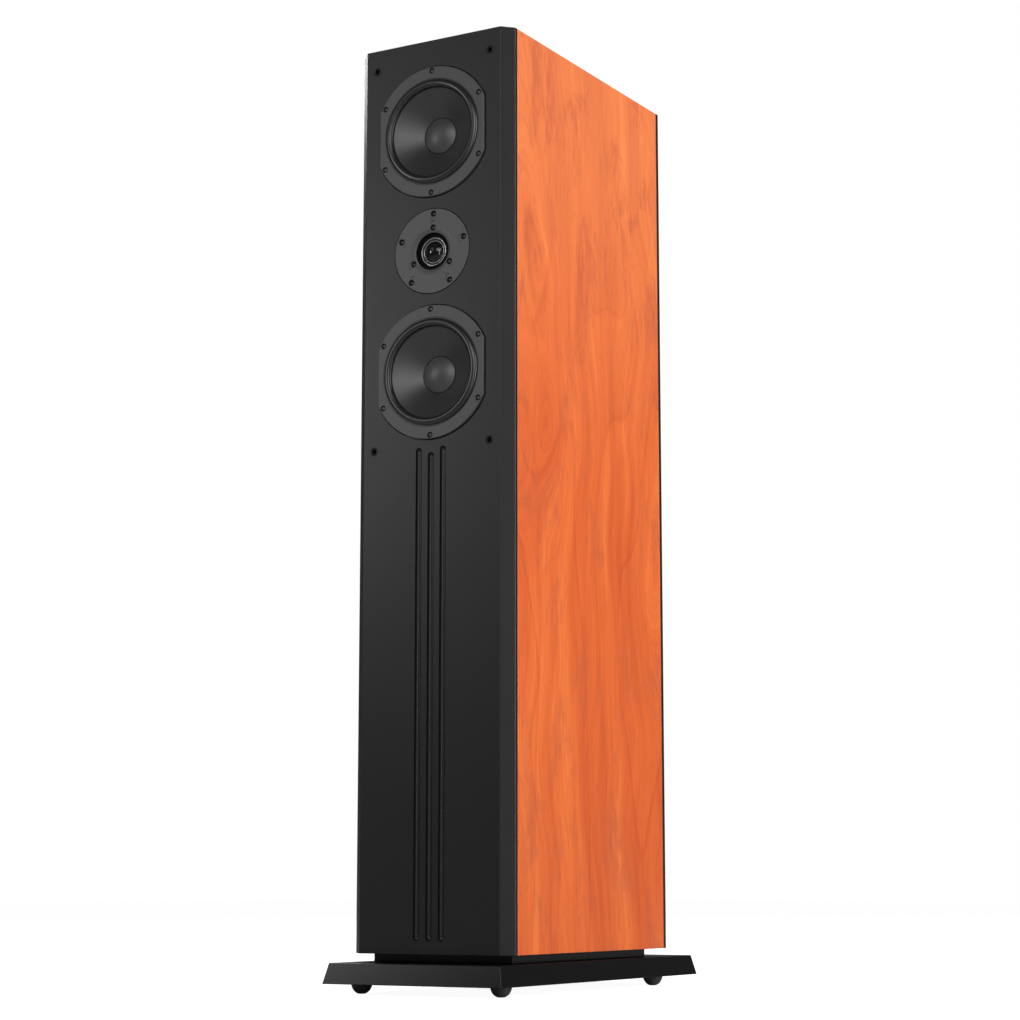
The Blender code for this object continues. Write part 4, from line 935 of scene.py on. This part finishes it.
def make_faceplate(place):
    """Round plate, dished towards a deep well, with scooped seats for its screws."""
    dish = []
    for step in range(13):
        share = step / 12
        dish.append((31 * MM + (WELL_RIM - 31 * MM) * share, -DISH * share ** 2))
    bore = TRIM_RIM + GAP
    back = -4.5 * MM
    profile = rounded([(TWEETER_RIM, back, 0), (TWEETER_RIM, 0, 0.4 * MM), (*dish[0], 0)])[:-1]
    profile += dish
    profile += [(WELL_RIM - 0.25 * MM, -DISH - 0.1 * MM), (WELL_RIM - 1 * MM, WELL_FLOOR),
                (TRIM_EDGE + GAP, WELL_FLOOR), (TRIM_EDGE + GAP, WELL_FLOOR - 0.6 * MM),
                (bore, WELL_FLOOR - 0.6 * MM), (bore, WELL_FLOOR - 2 * MM),
                (39 * MM, WELL_FLOOR - 2 * MM), (39 * MM, back)]
    bm = spun(profile, 144)

    cutter = bmesh.new()
    first = pi / 2 + TWEETER_TURN
    outer = ring_places(TWEETER_SCREWS, TWEETER_SCREW_CIRCLE, first)
    inner = ring_places(MOTOR_SCREWS, MOTOR_SCREW_CIRCLE, first)
    for x, y in outer + inner:
        spin(cutter, in_mm((0, -4.2), (1.5, -4.2), (1.5, -2.6), (3.7, -2.6), (3.9, 0), (3.9, 3),
                           (0, 3)), 32, closed=False, centre=(x, y))
    bm = carved(bm, cutter)
    scoops = bmesh.new()
    for places, shift in ((outer, -4.6 * MM), (inner, 3.4 * MM)):
        for x, y in places:
            spot = Vector((x, y)) + Vector((x, y)).normalized() * shift
            spin(scoops, in_mm((0, -0.75), (3.2, -0.7), (4.2, -0.45), (4.5, 0), (4.5, 3), (0, 3)),
                 47, closed=False, centre=spot)
    bm = carved(bm, scoops)
    plate = add_piece("tweeter_plate", bm, "faceplate", "cabinet", ["tweeter_faceplate"], place,
                      crease=24, flat=True)
    # The faces inside the well get the dull near-black finish: painted shade of the recess.
    plate.data.materials.append(BLACK_AND_PAINTED_SHADE)
    for face in plate.data.polygons:
        x, y, z = place.inverted() @ face.center
        if hypot(x, y) < WELL_RIM - 0.1 * MM:
            face.material_index = 1
    add_screws("tweeter", place, outer + inner, -2.58 * MM, 0.9, 1.9 * MM, 3.6 * MM, 1.6 * MM)


def make_tweeter():
    place = Matrix.Translation((0, TWEETER_FACE, TWEETER_HEIGHT)) @ FORWARDS
    make_faceplate(place)

    trim_top = WELL_FLOOR + 1.2 * MM
    trim_back, shoulder, bore = WELL_FLOOR - 2 * MM, WELL_FLOOR - 0.9 * MM, TRIM_EDGE - 1.1 * MM
    profile = rounded([(bore, trim_back, 0), (TRIM_RIM, trim_back, 0), (TRIM_RIM, shoulder, 0),
                       (TRIM_EDGE, shoulder, 0), (TRIM_EDGE, trim_top, 0.5 * MM),
                       (bore, trim_top, 0.5 * MM)])
    add_piece("tweeter_ring", spun(profile, 128), "bright_trim", "cabinet", ["tweeter_trim_ring"],
              place)

    rim = MOTOR_FACE + 1.8 * MM
    near, far = DOME_RIM + GAP, TRIM_EDGE - 1.3 * MM
    over, under = [], []
    for step in range(13):
        angle = pi * step / 12
        across = near + (far - near) * (0.5 - 0.5 * cos(angle))
        over.append((across, rim + 1.4 * MM * sin(angle)))
        under.append((across, rim - 0.4 * MM + 1.26 * MM * sin(angle)))
    make_bending_ring("tweeter_roll", over + list(reversed(under)), "rubber",
                      place,
                      "tweeter_surround", sectors=12, steps=12)

    profile = dome_section(DOME_RIM, rim, 5.8 * MM, 0.4 * MM)
    add_piece("tweeter_dome_cap", spun(profile, 96, closed=False), "dome_cloth", "tweeter_moving",
              ["tweeter_dome"], place)
    bead = bead_section(DOME_RIM, rim + 0.5 * MM, 0.28 * MM, 10)
    add_piece("tweeter_dome_ring", spun(bead, 96), "zinc_steel", "tweeter_moving", place=place)


# ---------------------------------------------------------------- back
def make_port():
    low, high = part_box("port_tube")
    place = Matrix.Translation((0, REAR, (low.z + high.z) / 2)) @ BACKWARDS
    rim = (high.x - low.x) / 2
    face = high.y - REAR
    bore, flare, wall = 25 * MM, 9 * MM, 2.5 * MM
    mouth = []
    for step in range(13):
        angle = pi / 2 + pi / 2 * step / 12
        mouth.append((bore + flare + flare * cos(angle), face - flare + flare * sin(angle)))
    inside = low.y - REAR
    flange = rounded([(rim, GAP, 0), (rim, face, 1.2 * MM), (bore + flare, face, 0)])[:-1]
    profile = flange + mouth + [(bore, inside), (bore + wall, inside), (bore + wall, GAP)]
    add_piece("port", spun(profile, 128), "black_plastic", "cabinet", ["port_tube"], place,
              crease=40)
    add_screws("port", place, ring_places(4, rim - 4.5 * MM, pi / 4), face - 0.02 * MM, 0.0,
               2.4 * MM, height=1.2 * MM)


def make_terminals():
    low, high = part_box("terminal_plate")
    bm = copy_of("terminal_plate")
    ease_edges(bm, 0.5 * MM, 3, wanted=lambda place: place.y > REAR + 2 * MM)
    add_piece("terminal_cup", bm, "black_plastic", "cabinet", ["terminal_plate"], flat=True)
    middle = (low.z + high.z) / 2
    for index, (sx, sz) in enumerate(((-1, -1), (1, -1), (1, 1), (-1, 1))):
        spot = Matrix.Translation((sx * (high.x - 6.5 * MM), high.y - 0.02 * MM,
                                   middle + sz * ((high.z - low.z) / 2 - 6.5 * MM))) @ BACKWARDS
        add_screw(f"terminal_screw_{index + 1}", spot, 2.4 * MM, height=1.2 * MM)

    for colour, plastic in (("red", "red_plastic"), ("black", "black_plastic")):
        post_low, post_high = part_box("binding_post_" + colour)
        place = Matrix.Translation(((post_low.x + post_high.x) / 2, high.y, middle)) @ BACKWARDS
        knob_low, knob_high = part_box("terminal_knob_" + colour)
        washer_low, washer_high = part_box("clamp_washer_" + colour)
        stud, collar, bore = 3.0 * MM, 7.5 * MM, 3.3 * MM
        top = post_high.y - high.y
        seat = 5.3 * MM
        nut = -3.3 * MM
        profile = rounded([
            (0, nut - 10 * MM, 0), (stud, nut - 10 * MM, 0.4 * MM), (stud, nut - 4 * MM, 0),
            (collar - 2 * MM, nut - 4 * MM, 0.3 * MM), (collar - 2 * MM, nut, 0), (stud, nut, 0),
            (stud, GAP, 0), (collar, GAP, 0.3 * MM), (collar, seat, 0.6 * MM), (stud, seat, 0),
            (stud, top, 0.3 * MM), (2.05 * MM, top, 0.3 * MM), (2.05 * MM, seat, 0), (0, seat, 0)])
        add_piece("post_" + colour, spun(profile, 64, closed=False), "gilt", "cabinet",
                  ["binding_post_" + colour], place)
        wide = (washer_high.x - washer_low.x) / 2
        bottom, upper = washer_low.y - high.y, washer_high.y - high.y
        profile = rounded([(bore, bottom, 0), (wide, bottom, 0.25 * MM), (wide, upper, 0.25 * MM),
                           (bore, upper, 0)])
        add_piece("washer_" + colour, spun(profile, 64), "gilt", colour + "_washer",
                  ["clamp_washer_" + colour], place)
        wide = (knob_high.x - knob_low.x) / 2
        bottom, upper = knob_low.y - high.y, knob_high.y - high.y
        profile = rounded([(bore, bottom, 0), (wide, bottom, 0.4 * MM), (wide, upper, 1.0 * MM),
                           (bore + 0.6 * MM, upper, 0.5 * MM), (bore, upper - 1.2 * MM, 0)])
        bm = spun(profile, 96)
        for vert in bm.verts:
            radius = hypot(vert.co.x, vert.co.y)
            if radius > wide - 1.1 * MM:
                flute = 0.5 + 0.5 * cos(8 * atan2(vert.co.y, vert.co.x))
                shrink = (radius - 0.6 * MM * flute ** 2) / radius
                vert.co.x *= shrink
                vert.co.y *= shrink
        add_piece("knob_" + colour, bm, plastic, colour + "_knob", ["terminal_knob_" + colour],
                  place, crease=50)


# ---------------------------------------------------------------- carried-over nodes
INSIDE = {
    "bare_board": ["brace_lower", "brace_upper"],
    "copper": ["woofer_upper_voice_coil", "woofer_lower_voice_coil", "tweeter_voice_coil",
               "inductor_woofer", "inductor_tweeter"],
    "zinc_steel": ["woofer_upper_top_plate", "woofer_lower_top_plate", "tweeter_top_plate",
                   "woofer_upper_back_plate", "woofer_lower_back_plate", "tweeter_back_plate"],
    "ferrite": ["woofer_upper_magnet", "woofer_lower_magnet", "tweeter_magnet"],
    "circuit_board": ["crossover_board"],
    "capacitor_film": ["capacitor"],
    "cable_jacket": ["cable_tweeter", "cable_woofer", "cable_woofer_link"],
    "wadding": ["damping_wadding"],
}


def finish_inside():
    for finish, nodes in INSIDE.items():
        for node in nodes:
            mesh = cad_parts[node].data
            mesh.materials.clear()
            mesh.materials.append(FINISHES[finish])


# ---------------------------------------------------------------- studio
def add_camera():
    lens = bpy.data.cameras.new("camera")
    lens.lens = 83.9
    lens.sensor_width = 36.0
    camera = bpy.data.objects.new("camera", lens)
    camera.location = (1.4709, -2.5579, 0.1261)
    camera.rotation_euler = (radians(98.94), 0.0, radians(30.12))
    bpy.context.scene.collection.objects.link(camera)
    bpy.context.scene.camera = camera


def add_softbox(name, place, target, width, height, power):
    lamp = bpy.data.lights.new(name, "AREA")
    lamp.shape = "RECTANGLE"
    lamp.size = width
    lamp.size_y = height
    lamp.energy = power
    holder = bpy.data.objects.new(name, lamp)
    holder.location = place
    holder.rotation_euler = (Vector(target) - Vector(place)).to_track_quat("-Z", "Y").to_euler()
    holder.visible_camera = False
    bpy.context.scene.collection.objects.link(holder)


def light_studio():
    add_softbox("left_box", (-1.8, -3.1, 2.35), (0, -0.2, 0.9), 1.6, 1.5, 5.5)
    add_softbox("left_strip", (-2.0, -2.45, 1.35), (0, -0.2, 0.9), 0.12, 0.8, 9)
    add_softbox("right_box", (3.4, 0.1, 1.3), (0, 0, 0.6), 1.4, 2.6, 122)
    add_softbox("front_box", (1.2, -3.0, 2.15), (0, -0.2, 0.95), 1.9, 1.3, 24)
    add_softbox("right_strip", (1.35, -2.8, 0.95), (0, -0.2, 0.75), 0.28, 1.8, 11)
    add_softbox("back_box", (-2.6, 2.4, 3.4), (0, 0.1, 0.7), 2.2, 2.2, 150)


def show_camera(tree, usual, seen, surface):
    """Give the camera one shader, and the light rays the usual one."""
    path = add_node(tree, "LightPath")
    mixed = add_node(tree, "MixShader", {0: path.outputs["Is Camera Ray"], 1: usual, 2: seen})
    tree.links.new(mixed.outputs[0], surface)


def make_world():
    world = bpy.data.worlds.new("studio")
    bpy.context.scene.world = world
    world.use_nodes = True
    tree = world.node_tree
    fill = tree.nodes["Background"]
    fill.inputs["Strength"].default_value = 0.08
    fill.inputs["Color"].default_value = (1, 1, 1, 1)
    white = add_node(tree, "Background", {"Color": (1, 1, 1, 1), "Strength": 1.0})
    show_camera(tree, fill.outputs[0], white.outputs[0],
                tree.nodes["World Output"].inputs["Surface"])


def make_floor():
    """A pale floor that looks nearly white, but throws little light back on the object."""
    material, tree, shader = new_material("studio_floor")
    shade = noise(tree, object_place(tree), 1.2, 2.0)
    tree.links.new(ramp(tree, shade, [(0.3, 0.40), (0.7, 0.42)]), shader.inputs["Base Color"])
    shader.inputs["Roughness"].default_value = 0.9
    shader.inputs["Specular IOR Level"].default_value = 0.0
    glow = add_node(tree, "Emission", {"Color": (1, 1, 1, 1), "Strength": 0.95})
    seen = add_node(tree, "AddShader", {0: shader.outputs[0], 1: glow.outputs[0]})
    show_camera(tree, shader.outputs[0], seen.outputs[0],
                tree.nodes["Material Output"].inputs["Surface"])
    bm = bmesh.new()
    bmesh.ops.create_circle(bm, cap_ends=True, segments=96, radius=14.0)
    mesh = bpy.data.meshes.new("studio_floor")
    bm.to_mesh(mesh)
    bm.free()
    mesh.materials.append(material)
    floor = bpy.data.objects.new("studio_floor", mesh)
    bpy.context.scene.collection.objects.link(floor)


# ---------------------------------------------------------------- the loudspeaker
bpy.context.scene.view_settings.view_transform = "Standard"
add_camera()
make_world()
light_studio()
make_floor()
make_baffle()
make_sleeve()
make_rear_and_plinth()
make_feet()
make_sockets()
make_woofers()
make_tweeter()
make_port()
make_terminals()
finish_inside()

bpy.context.view_layer.update()
